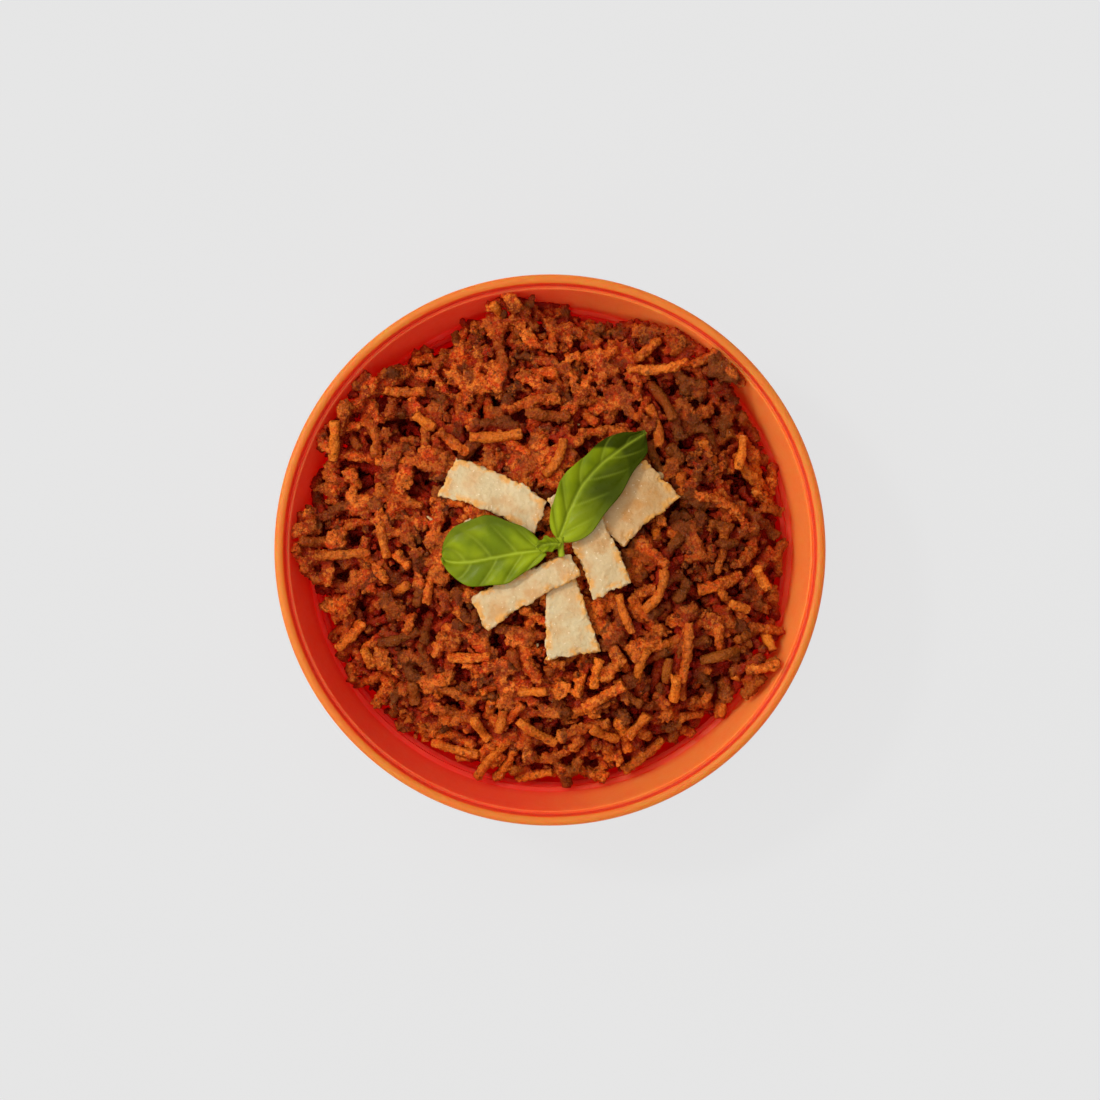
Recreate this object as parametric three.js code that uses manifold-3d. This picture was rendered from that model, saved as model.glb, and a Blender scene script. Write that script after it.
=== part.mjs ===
// A bowl of spaghetti bolognese, topped with cheese shavings and a sprig of basil.
// Millimetres, +Z up. The origin is the centre of the bowl's foot, on the table.

import * as THREE from 'three';
import { mergeVertices } from 'three/addons/utils/BufferGeometryUtils.js';
import Module from 'manifold-3d';

const wasm = await Module();
wasm.setup();

// ---- Driving dimensions ----

// Facets round the bowl and the mound, which share them so that their facets stay parallel.
const SECTORS = 64;
// Clearance between solids that touch in the real dish.
const GAP = 0.4;

const BOWL = { radius: 80, height: 50, wall: 1.8, floorRadius: 40, floorTop: 3 };

// The ring that the bowl stands on.
const FOOT = { outer: 44, inner: 41, chamfer: 0.3 };

// The rounded bead round the top of the bowl.
const BEAD = { radius: 1.5, depth: 4.5, arcSteps: 6 };

// The seat just inside the bead, where a lid clips in.
const LID_SEAT = { inner: 76.0, drop: 2.4, lip: 0.4, lean: 0.1 };

// The flared wall between the lid seat and the stacking steps.
const FLARE = { topRadius: 75.6, bottomRadius: 71.6, height: 18.6 };

// Two narrow steps under the flare, on which stacked bowls rest.
const STEPS = { count: 2, tread: 1.5, riser: 1.6, fall: 0.3 };

const CORNER_ARC_STEPS = 7;

// The heap of pasta and sauce: how far its crown stands over the bowl's rim, how far its edge
// lies below it, and the exponents that round the crown off into steeper shoulders.
const MOUND = { crown: 4, edgeDrop: 18.5, edgeRadius: 70.2, fullness: 2.6, shoulder: 0.75, rings: 15 };

// Where the heap's rim climbs the wall (climb above 0) or falls back from it (climb below 0).
// Angles run anticlockwise from +X, in degrees.
const LOBES = [
  { angle: 47, spread: 12, climb: 1.0 },
  { angle: 100, spread: 13, climb: 0.7 },
  { angle: 148, spread: 14, climb: 1.0 },
  { angle: 180, spread: 12, climb: 1.0 },
  { angle: 240, spread: 20, climb: -1.0 },
  { angle: 270, spread: 14, climb: -0.5 },
  { angle: 305, spread: 12, climb: -0.8 },
  { angle: 330, spread: 8, climb: 0.8 },
];
// How far a full climb lifts the heap's rim, and how far a full fall draws it in.
const CLIMB_RISE = 9;
const FALL_INSET = 3.6;

// Ridges and hollows of the tangled strands.
const RELIEF = { depth: 1.3, waves: 7, shortest: 13, growth: 1.17 };
const GOLDEN_ANGLE = Math.PI * (3 - Math.sqrt(5));
// The tallest ridges under the garnish, which the garnish rests on.
const GARNISH_SEAT = 0.8;

const SHAVING = { thickness: 1.5, lengthSteps: 8, widthSteps: 2 };

// Cheese shavings: centre, heading in degrees, size, width gained from tail to head (taper),
// bow of the long edges, and height of the tail and head above the mound.
const SHAVINGS = [
  { name: 'cheese_shaving_left', x: -16.2, y: 15.0, heading: -24, length: 29.5, width: 11.2,
    taper: -0.1, bow: 1.6, tailLift: 0.4, headLift: 0.4 },
  { name: 'cheese_shaving_right', x: 24.6, y: 13.0, heading: 44, length: 22, width: 14,
    taper: 0.1, bow: 0.8, tailLift: 0.4, headLift: 0.4 },
  { name: 'cheese_shaving_middle', x: 10.9, y: 2.6, heading: -64.5, length: 32, width: 11.2,
    taper: 0.05, bow: 1.2, tailLift: 2.9, headLift: 1.6 },
  { name: 'cheese_shaving_diagonal', x: -6.6, y: -11.5, heading: 27.5, length: 31.4, width: 8.8,
    taper: -0.2, bow: 0.9, tailLift: 0.7, headLift: 3.1 },
  { name: 'cheese_shaving_bottom', x: 4.7, y: -18.6, heading: -81, length: 24, width: 11.8,
    taper: 0.35, bow: 0.0, tailLift: 0.4, headLift: 0.4 },
  { name: 'cheese_shaving_hidden', x: -20.9, y: -0.4, heading: -53.5, length: 18, width: 7.6,
    taper: 0.0, bow: 0.5, tailLift: 0.4, headLift: 0.4 },
];

const LEAF = { thickness: 0.9, lengthSteps: 14, widthSteps: 6, tipShare: 0.08, fullness: 0.5 };

// Basil leaves: where the blade leaves the stem, heading in degrees, size, how far along its
// length the blade is widest, the sideways sweep of its midrib, the trough along the midrib,
// and height above the mound at the base, middle and tip.
const LEAVES = [
  { x: 2.3, y: 3.0, heading: 51, length: 40.1, width: 16, widest: 0.38,
    sweep: 2.1, trough: 1.5, lifts: [6.4, 6.8, 4.6] },
  { x: -1.1, y: -0.2, heading: 182.6, length: 30, width: 20.2, widest: 0.58,
    sweep: -0.6, trough: 1.0, lifts: [6.7, 5.7, 4.2] },
];

// The stem: a stub under the leaves, and the short stalk that carries the left leaf.
const STEM = { radius: 1.1, sides: 8, steps: 6, lift: 6.7 };
const STEM_ROUTES = [
  [[2.8, 3.6], [3.0, 1.0], [3.4, -1.9]],
  [[3.4, 1.4], [0.6, 1.0], [-2.6, -0.3]],
];

// ---- Shared helpers ----

const radians = THREE.MathUtils.degToRad;
const point = (r, z) => new THREE.Vector2(r, z);

// Points along an arc in a profile, from one angle to another in degrees.
function arcPoints(centre, radius, from, to, steps) {
  return Array.from({ length: steps + 1 }, (_, i) => {
    const angle = radians(from + ((to - from) * i) / steps);
    return point(centre.x + radius * Math.cos(angle), centre.y + radius * Math.sin(angle));
  });
}

// A closed slab: a box of unit size whose points are moved by place(along, across, through).
function bentSlab(lengthSteps, widthSteps, place) {
  const slab = new THREE.BoxGeometry(1, 1, 1, lengthSteps, widthSteps, 1);
  const positions = slab.getAttribute('position');
  for (let i = 0; i < positions.count; i++) {
    const p = place(positions.getX(i), positions.getY(i), positions.getZ(i));
    positions.setXYZ(i, p.x, p.y, p.z);
  }
  return slab;
}

function material(color, roughness) {
  return new THREE.MeshStandardMaterial({ color, roughness, metalness: 0 });
}

function namedMesh(name, geometry, finish) {
  geometry.computeVertexNormals();
  const mesh = new THREE.Mesh(geometry, finish);
  mesh.name = name;
  return mesh;
}

// ---- Bowl ----

const flareTopZ = BOWL.height - LID_SEAT.drop;
const flareBottomZ = flareTopZ - FLARE.height;

// The rounded corner between the floor and the lowest step: where it ends and how big it is.
const cornerTopZ = flareBottomZ - STEPS.count * STEPS.riser;
const cornerHeight = cornerTopZ - BOWL.floorTop;
const cornerWidth = FLARE.bottomRadius - STEPS.count * STEPS.tread - BOWL.floorRadius;

// The corner from the wall round to the floor, grown outwards by an offset.
function cornerProfile(offset) {
  return Array.from({ length: CORNER_ARC_STEPS + 1 }, (_, i) => {
    const turn = (Math.PI / 2) * (i / CORNER_ARC_STEPS);
    return point(
      BOWL.floorRadius + (cornerWidth + offset) * Math.cos(turn),
      cornerTopZ - (cornerHeight + offset) * Math.sin(turn),
    );
  });
}

// The bowl's inner face from the lid seat down to the middle of the floor.
function innerProfile() {
  const points = [
    point(LID_SEAT.inner, flareTopZ + LID_SEAT.lip),
    point(FLARE.topRadius, flareTopZ),
    point(FLARE.bottomRadius, flareBottomZ),
  ];
  for (let step = 0; step < STEPS.count; step++) {
    const r = FLARE.bottomRadius - (step + 1) * STEPS.tread;
    const z = flareBottomZ - step * STEPS.riser;
    points.push(point(r, z - STEPS.fall), point(r, z - STEPS.riser));
  }
  return [...points, ...cornerProfile(0).slice(1), point(0, BOWL.floorTop)];
}

// The outer face from the middle of the underside up to the bead.
function outerProfile() {
  const underside = BOWL.floorTop - BOWL.wall;
  return [
    point(0, underside),
    point(FOOT.inner, underside),
    point(FOOT.inner + FOOT.chamfer, 0),
    point(FOOT.outer - FOOT.chamfer, 0),
    ...cornerProfile(BOWL.wall).slice(0, -1).reverse(),
    point(FLARE.bottomRadius + BOWL.wall, flareBottomZ - BOWL.wall),
    point(FLARE.topRadius + BOWL.wall, BOWL.height - BEAD.depth),
  ];
}

// The bead's outline over the top, ending at the bottom of the lid seat.
function beadProfile() {
  const centre = point(BOWL.radius - BEAD.radius, BOWL.height - BEAD.radius);
  return [
    point(BOWL.radius, BOWL.height - BEAD.depth),
    ...arcPoints(centre, BEAD.radius, 0, 180, BEAD.arcSteps),
    point(BOWL.radius - 2 * BEAD.radius - LID_SEAT.lean, flareTopZ),
    point(LID_SEAT.inner + LID_SEAT.lip, flareTopZ),
  ];
}

function buildBowl() {
  const profile = [...outerProfile(), ...beadProfile(), ...innerProfile()];
  const geometry = new THREE.LatheGeometry(profile, SECTORS).rotateX(Math.PI / 2);
  return namedMesh('bowl', geometry, material(0xe8702a, 0.45));
}

// ---- Mound of spaghetti bolognese ----

const moundTopZ = BOWL.height + MOUND.crown;

// Signed share by which the heap's rim climbs the wall at an angle in radians.
function climbAt(angle) {
  let climb = 0;
  for (const lobe of LOBES) {
    const away = THREE.MathUtils.euclideanModulo(angle - radians(lobe.angle) + Math.PI, 2 * Math.PI);
    climb += lobe.climb * Math.exp(-(((away - Math.PI) / radians(lobe.spread)) ** 2));
  }
  return THREE.MathUtils.clamp(climb, -1, 1);
}

// Radius of the flared wall's inner face at a height.
function flareRadius(z) {
  const share = (z - flareBottomZ) / FLARE.height;
  return THREE.MathUtils.lerp(FLARE.bottomRadius, FLARE.topRadius, share);
}

function rimOfMound(angle) {
  const climb = climbAt(angle);
  const z = BOWL.height - MOUND.edgeDrop + CLIMB_RISE * Math.max(0, climb);
  const onWall = flareRadius(z) - GAP;
  const r = climb > 0
    ? THREE.MathUtils.lerp(MOUND.edgeRadius, onWall, climb)
    : MOUND.edgeRadius + FALL_INSET * climb;
  return point(r, z);
}

// Height of the smooth mound over a place in plan, without its ridges.
function moundHeight(x, y) {
  const rim = rimOfMound(Math.atan2(y, x));
  const share = Math.min(1, Math.hypot(x, y) / rim.x);
  return rim.y + (moundTopZ - rim.y) * (1 - share ** MOUND.fullness) ** MOUND.shoulder;
}

// Ridges over a place in plan, between minus and plus RELIEF.depth.
function ridges(x, y) {
  let sum = 0;
  for (let i = 0; i < RELIEF.waves; i++) {
    const heading = i * GOLDEN_ANGLE;
    const wavelength = RELIEF.shortest * RELIEF.growth ** i;
    const along = x * Math.cos(heading) + y * Math.sin(heading);
    sum += Math.sin((2 * Math.PI * along) / wavelength + i * i);
  }
  return (RELIEF.depth * sum) / RELIEF.waves;
}

// The mound's outline at one angle: the floor, the rounded corner, its rim, then its top.
function moundProfile(angle) {
  const rim = rimOfMound(angle);
  const corner = cornerProfile(-GAP).reverse();
  const besideSteps = point(BOWL.floorRadius + cornerWidth - GAP, flareBottomZ);
  const points = [point(0, BOWL.floorTop + GAP), ...corner, besideSteps, rim];
  for (let ring = 1; ring <= MOUND.rings; ring++) {
    const share = (1 - ring / MOUND.rings) ** 0.8;
    const x = rim.x * share * Math.cos(angle);
    const y = rim.x * share * Math.sin(angle);
    points.push(point(rim.x * share, moundHeight(x, y) + ridges(x, y) * (1 - share ** 6)));
  }
  return points;
}

// A lathed solid whose profile changes with the angle round the axis.
function buildMound() {
  const rows = moundProfile(0).length;
  const geometry = new THREE.LatheGeometry(moundProfile(0), SECTORS);
  const positions = geometry.getAttribute('position');
  for (let sector = 0; sector <= SECTORS; sector++) {
    const angle = ((sector % SECTORS) / SECTORS) * 2 * Math.PI - Math.PI / 2;
    moundProfile(angle).forEach((p, row) => {
      positions.setXYZ(sector * rows + row, p.x * Math.cos(angle), p.x * Math.sin(angle), p.y);
    });
  }
  return namedMesh('spaghetti_bolognese', geometry, material(0x9a4418, 0.55));
}

// ---- Cheese shavings ----

// A bent slice that follows the mound, placed by its mesh's position and heading.
function buildShaving(spec, finish) {
  const heading = radians(spec.heading);
  const base = moundHeight(spec.x, spec.y) + GARNISH_SEAT;
  const geometry = bentSlab(SHAVING.lengthSteps, SHAVING.widthSteps, (along, across, through) => {
    const bow = spec.bow * (1 - (2 * along) ** 2);
    const local = point(
      spec.length * along,
      spec.width * across * (1 + spec.taper * 2 * along) + bow,
    );
    const plan = local.clone().rotateAround(point(0, 0), heading);
    const height = moundHeight(spec.x + plan.x, spec.y + plan.y) + GARNISH_SEAT;
    const lift = THREE.MathUtils.lerp(spec.tailLift, spec.headLift, along + 0.5);
    const z = height - base + lift + (through + 0.5) * SHAVING.thickness;
    return new THREE.Vector3(local.x, local.y, z);
  });
  const mesh = namedMesh(spec.name, geometry, finish);
  mesh.position.set(spec.x, spec.y, base);
  mesh.rotation.z = heading;
  return mesh;
}

// ---- Basil ----

// A number that passes through three values at 0, 1/2 and 1.
function throughThree([start, middle, end], share) {
  return THREE.MathUtils.lerp(start, end, share)
    + 4 * share * (1 - share) * (middle - (start + end) / 2);
}

// Half width of an ovate blade, as a share of its widest, along its length.
function bladeShare(share, widest) {
  const power = Math.log(0.5) / Math.log(widest);
  return Math.max(LEAF.tipShare, Math.sin(Math.PI * share ** power) ** LEAF.fullness);
}

function leafSlab(spec) {
  const heading = radians(spec.heading);
  return bentSlab(LEAF.lengthSteps, LEAF.widthSteps, (along, across, through) => {
    const share = along + 0.5;
    const half = (spec.width / 2) * bladeShare(share, spec.widest);
    const sweep = spec.sweep * Math.sin(Math.PI * share);
    const plan = point(spec.length * share, 2 * across * half + sweep)
      .rotateAround(point(0, 0), heading);
    const x = spec.x + plan.x;
    const y = spec.y + plan.y;
    const trough = spec.trough * (Math.abs(2 * across) - 0.5) * (half / (spec.width / 2));
    const lift = throughThree(spec.lifts, share) + trough;
    return new THREE.Vector3(x, y, moundHeight(x, y) + lift + (through + 0.5) * LEAF.thickness);
  });
}

function stemPiece(route) {
  const points = route.map(([x, y]) => new THREE.Vector3(x, y, moundTopZ + STEM.lift));
  const section = new THREE.Shape(
    arcPoints(point(0, 0), STEM.radius, 0, 360 - 360 / STEM.sides, STEM.sides - 1),
  );
  return new THREE.ExtrudeGeometry(section, {
    steps: STEM.steps,
    extrudePath: new THREE.CatmullRomCurve3(points),
  });
}

// A closed geometry as a solid for joining.
function solidFrom(geometry) {
  const bare = geometry.index ? geometry.toNonIndexed() : geometry.clone();
  bare.deleteAttribute('normal');
  bare.deleteAttribute('uv');
  const merged = mergeVertices(bare, 1e-3);
  return new wasm.Manifold(new wasm.Mesh({
    numProp: 3,
    vertProperties: merged.getAttribute('position').array,
    triVerts: new Uint32Array(merged.index.array),
  }));
}

function geometryFrom(solid) {
  const mesh = solid.getMesh();
  return new THREE.BufferGeometry()
    .setAttribute('position', new THREE.BufferAttribute(mesh.vertProperties, 3))
    .setIndex(new THREE.BufferAttribute(mesh.triVerts, 1));
}

function buildSprig() {
  const pieces = [...LEAVES.map(leafSlab), ...STEM_ROUTES.map(stemPiece)].map(solidFrom);
  const joined = pieces.reduce((whole, piece) => whole.add(piece));
  return namedMesh('basil_sprig', geometryFrom(joined), material(0x4f8a1c, 0.45));
}

// ---- The whole dish ----

const dish = new THREE.Group();
dish.add(buildBowl(), buildMound());
const cheese = material(0xe6cfa0, 0.6);
for (const spec of SHAVINGS) dish.add(buildShaving(spec, cheese));
dish.add(buildSprig());

export default dish;
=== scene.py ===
"""A bowl of spaghetti bolognese, topped with cheese shavings and a sprig of basil.

Everything is in metres, +Z up, with the origin at the centre of the bowl's foot. The heap is
made as it would be served: strands and mince are dropped one by one on a smaller core until the
heap is full, and what shows of them becomes mesh.
"""

import logging
import math
from dataclasses import dataclass, field
from enum import Enum

import bmesh
import bpy
import numpy as np
from mathutils import Matrix, Vector, noise
from mathutils.bvhtree import BVHTree
from mathutils.kdtree import KDTree


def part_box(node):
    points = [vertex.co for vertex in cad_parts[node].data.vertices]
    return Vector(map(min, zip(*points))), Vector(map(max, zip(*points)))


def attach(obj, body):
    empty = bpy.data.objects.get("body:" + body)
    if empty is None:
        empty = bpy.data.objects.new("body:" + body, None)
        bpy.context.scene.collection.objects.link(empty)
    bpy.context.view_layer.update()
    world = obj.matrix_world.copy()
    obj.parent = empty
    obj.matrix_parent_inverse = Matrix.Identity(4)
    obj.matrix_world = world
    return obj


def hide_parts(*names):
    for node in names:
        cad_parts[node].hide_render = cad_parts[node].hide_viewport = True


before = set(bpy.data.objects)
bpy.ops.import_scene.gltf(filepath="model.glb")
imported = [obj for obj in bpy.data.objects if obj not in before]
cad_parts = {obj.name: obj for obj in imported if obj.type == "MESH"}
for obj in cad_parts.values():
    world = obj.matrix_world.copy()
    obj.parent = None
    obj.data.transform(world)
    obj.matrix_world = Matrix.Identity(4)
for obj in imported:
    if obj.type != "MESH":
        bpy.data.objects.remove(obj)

LOG = logging.getLogger("dish")
MM = 0.001
BODY = "root"


class Slot(Enum):
    """Names of the dish's material slots."""

    BOWL = "bowl_plastic"
    PASTA = "pasta_in_sauce"
    CHEESE = "hard_cheese"
    BASIL = "basil"


# ---- Helpers ----


def srgb(red: int, green: int, blue: int) -> tuple[float, float, float, float]:
    """A colour given as it looks, out of 255, as the linear numbers that a shader takes.

    Args:
        red: Its red, out of 255.
        green: Its green.
        blue: Its blue.

    Returns:
        Its linear red, green and blue, and 1 for opaque.
    """
    channels = [value / 255 for value in (red, green, blue)]
    linear = [c / 12.92 if c <= 0.04045 else ((c + 0.055) / 1.055) ** 2.4 for c in channels]
    return (*linear, 1.0)


def smooth_step(low: float, high: float, value: np.ndarray) -> np.ndarray:
    """A smooth rise from 0 at low to 1 at high."""
    share = np.clip((value - low) / (high - low), 0.0, 1.0)
    return share * share * (3 - 2 * share)


def new_piece(name: str, mesh: bpy.types.Mesh) -> bpy.types.Object:
    """Puts a mesh in the scene as an object at the origin.

    Args:
        name: The piece's name.
        mesh: Its mesh, already in place.

    Returns:
        The new object.
    """
    piece = bpy.data.objects.new(name, mesh)
    bpy.context.scene.collection.objects.link(piece)
    return piece


def piece_from_bmesh(name: str, shape: bmesh.types.BMesh) -> bpy.types.Object:
    """Turns a finished bmesh into an object, with every face smooth, and frees it.

    Args:
        name: The piece's name.
        shape: The finished shape.

    Returns:
        The new object.
    """
    for face in shape.faces:
        face.smooth = True
    mesh = bpy.data.meshes.new(name)
    shape.to_mesh(mesh)
    shape.free()
    return new_piece(name, mesh)


def apply_modifiers(piece: bpy.types.Object) -> None:
    """Makes a piece's modifiers part of its mesh, with every face smooth.

    Args:
        piece: The piece.
    """
    depsgraph = bpy.context.evaluated_depsgraph_get()
    finished = bpy.data.meshes.new_from_object(piece.evaluated_get(depsgraph))
    rough = piece.data
    piece.modifiers.clear()
    piece.data = finished
    bpy.data.meshes.remove(rough)
    finished.shade_smooth()


def mesh_points(mesh: bpy.types.Mesh) -> np.ndarray:
    """The places of a mesh's vertices, one row each.

    Args:
        mesh: The mesh.

    Returns:
        The places, as an array of three columns.
    """
    flat = np.zeros(len(mesh.vertices) * 3, np.float32)
    mesh.vertices.foreach_get("co", flat)
    return flat.reshape(-1, 3).astype(float)


def move_points(mesh: bpy.types.Mesh, points: np.ndarray) -> None:
    """Puts a mesh's vertices at new places."""
    mesh.vertices.foreach_set("co", points.astype(np.float32).ravel())
    mesh.update()


def store(mesh: bpy.types.Mesh, name: str, values: np.ndarray) -> None:
    """Keeps one number for each vertex, for the materials to read."""
    layer = mesh.attributes.get(name) or mesh.attributes.new(name, "FLOAT", "POINT")
    layer.data.foreach_set("value", values.astype(np.float32))


def triangle_count(piece: bpy.types.Object) -> int:
    """The number of triangles in a piece's mesh."""
    return sum(len(polygon.vertices) - 2 for polygon in piece.data.polygons)


def node_tree(node: str) -> BVHTree:
    """A CAD node's surface, for measuring heights on it.

    Args:
        node: The node's name.

    Returns:
        A tree that rays can be cast at.
    """
    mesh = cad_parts[node].data
    return BVHTree.FromPolygons(
        [vertex.co for vertex in mesh.vertices],
        [tuple(polygon.vertices) for polygon in mesh.polygons],
    )


def add_displacement(piece: bpy.types.Object, grain: float, strength: float, depth: int = 2) -> None:
    """Adds a cloudy relief to a piece.

    Args:
        piece: The piece.
        grain: The size of the relief's lumps.
        strength: How far its highest lumps stand over its lowest hollows.
        depth: How many finer reliefs are added to it.
    """
    clouds = bpy.data.textures.new(f"{piece.name}_relief", "CLOUDS")
    clouds.noise_scale = grain
    clouds.noise_depth = depth
    relief = piece.modifiers.new("relief", "DISPLACE")
    relief.texture = clouds
    relief.texture_coords = "LOCAL"
    relief.strength = strength
    relief.mid_level = 0.5


def crumble(piece: bpy.types.Object, size: float, height: float) -> None:
    """Covers a piece with rounded grains.

    Args:
        piece: The piece.
        size: How large a grain is.
        height: How far a grain's top would stand over the deepest crease beside it.
    """
    mesh = piece.data
    points = mesh_points(mesh)
    normals = np.zeros(points.size, np.float32)
    mesh.vertices.foreach_get("normal", normals)
    rise = np.array([0.5 - noise.voronoi(Vector(point) / size)[0][0] for point in points])
    move_points(mesh, points + normals.reshape(-1, 3) * (rise * height)[:, None])


# ---- Materials ----


class NodeSheet:
    """One procedural material while its nodes are being placed and linked."""

    def __init__(self, name: str) -> None:
        """Starts an empty material with a Principled shader.

        Args:
            name: The material's name.
        """
        self.material = bpy.data.materials.new(name)
        self.material.use_nodes = True
        self.nodes = self.material.node_tree.nodes
        self.links = self.material.node_tree.links
        self.shader = self.nodes["Principled BSDF"]

    def node(self, kind: str, **settings: object) -> bpy.types.Node:
        """Adds a node and sets its properties.

        Args:
            kind: The node's type.
            **settings: Its properties.

        Returns:
            The node.
        """
        made = self.nodes.new(kind)
        for name, value in settings.items():
            setattr(made, name, value)
        return made

    def wire(self, value: object, socket: bpy.types.NodeSocket) -> None:
        """Links a socket to another, or sets it to a plain value.

        Args:
            value: Another socket or a plain value.
            socket: The socket to feed.
        """
        if isinstance(value, bpy.types.NodeSocket):
            self.links.new(value, socket)
        else:
            socket.default_value = value

    def place(self, stretch: tuple[float, float, float] = (1, 1, 1), turn: float = 0.0) -> object:
        """The place on the piece, turned about Z and stretched along each axis.

        Args:
            stretch: The scale along each axis.
            turn: The turn about Z, in radians.

        Returns:
            The socket that gives the place.
        """
        coordinates = self.node("ShaderNodeTexCoord").outputs["Object"]
        mapping = self.node("ShaderNodeMapping")
        mapping.inputs["Scale"].default_value = stretch
        mapping.inputs["Rotation"].default_value = (0, 0, turn)
        self.links.new(coordinates, mapping.inputs["Vector"])
        return mapping.outputs["Vector"]

    def attribute(self, name: str) -> object:
        """A number stored on the piece's vertices."""
        return self.node("ShaderNodeAttribute", attribute_name=name).outputs["Fac"]

    def noise(self, grain: float, detail: float = 2.0, rough: float = 0.5, place: object = None) -> object:
        """Cloudy noise whose lumps are about as large as grain.

        Args:
            grain: The size of the lumps.
            detail: How many finer noises are added.
            rough: How strong the finer ones are.
            place: A socket that gives the place, if not the plain one.

        Returns:
            The socket that gives the noise.
        """
        made = self.node("ShaderNodeTexNoise")
        self.wire(place or self.place(), made.inputs["Vector"])
        made.inputs["Scale"].default_value = 1 / grain
        made.inputs["Detail"].default_value = detail
        made.inputs["Roughness"].default_value = rough
        return made.outputs["Fac"]

    def cells(self, size: float, place: object = None) -> object:
        """Distance to the nearest of many scattered points, about size apart.

        Args:
            size: How far apart the points are.
            place: A socket that gives the place, if not the plain one.

        Returns:
            The socket that gives the distance.
        """
        made = self.node("ShaderNodeTexVoronoi")
        self.wire(place or self.place(), made.inputs["Vector"])
        made.inputs["Scale"].default_value = 1 / size
        return made.outputs["Distance"]

    def grains(self, size: float, place: object = None) -> object:
        """A number from 0 to 1 that is the same all over each of many small grains.

        Args:
            size: How large a grain is.
            place: A socket that gives the place, if not the plain one.

        Returns:
            The socket that gives the number.
        """
        made = self.node("ShaderNodeTexVoronoi")
        self.wire(place or self.place(), made.inputs["Vector"])
        made.inputs["Scale"].default_value = 1 / size
        parts = self.node("ShaderNodeSeparateColor")
        self.links.new(made.outputs["Color"], parts.inputs["Color"])
        return parts.outputs[0]

    def steps(self, value: object, low: float, high: float, start: float = 0.0, end: float = 1.0) -> object:
        """A number carried smoothly from one range to another, and held at its ends.

        Args:
            value: The number.
            low: Where the first range starts.
            high: Where it ends.
            start: What low becomes.
            end: What high becomes.

        Returns:
            The socket that gives the new number.
        """
        made = self.node("ShaderNodeMapRange", interpolation_type="SMOOTHSTEP")
        self.wire(value, made.inputs["Value"])
        for socket, number in zip(("From Min", "From Max", "To Min", "To Max"), (low, high, start, end)):
            made.inputs[socket].default_value = number
        return made.outputs["Result"]

    def math(self, operation: str, first: object, second: object = 0.0) -> object:
        """Arithmetic on two numbers, held between 0 and 1.

        Args:
            operation: The node's operation.
            first: The first number.
            second: The second number.

        Returns:
            The socket that gives the result.
        """
        made = self.node("ShaderNodeMath", operation=operation, use_clamp=True)
        self.wire(first, made.inputs[0])
        self.wire(second, made.inputs[1])
        return made.outputs[0]

    def mix(self, share: object, first: object, second: object, blend: str = "MIX") -> object:
        """One colour blended into another.

        Args:
            share: How far the second covers the first.
            first: The first colour.
            second: The second colour.
            blend: The way they are blended.

        Returns:
            The socket that gives the colour.
        """
        made = self.node("ShaderNodeMix", data_type="RGBA", blend_type=blend)
        self.wire(share, made.inputs["Factor"])
        self.wire(first, made.inputs["A"])
        self.wire(second, made.inputs["B"])
        return made.outputs["Result"]

    def bump(self, height: object, distance: float, strength: float = 1.0, under: object = None) -> object:
        """Fine relief, as a normal, on top of another if one is given.

        Args:
            height: What the relief follows.
            distance: How high it stands.
            strength: How far it shows.
            under: The normal of the relief beneath, if any.

        Returns:
            The socket that gives the normal.
        """
        made = self.node("ShaderNodeBump")
        made.inputs["Strength"].default_value = strength
        made.inputs["Distance"].default_value = distance
        self.wire(height, made.inputs["Height"])
        if under is not None:
            self.wire(under, made.inputs["Normal"])
        return made.outputs["Normal"]

    def finish(
        self, colour: object, roughness: object, normal: object, **shader: object
    ) -> bpy.types.Material:
        """Feeds the shader and returns the material.

        Args:
            colour: The base colour.
            roughness: The roughness.
            normal: The relief.
            **shader: Values of the shader's own sockets, with _ for a space.

        Returns:
            The finished material.
        """
        self.wire(colour, self.shader.inputs["Base Color"])
        self.wire(roughness, self.shader.inputs["Roughness"])
        self.wire(normal, self.shader.inputs["Normal"])
        for name, value in shader.items():
            self.shader.inputs[name.replace("_", " ")].default_value = value
        return self.material


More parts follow.
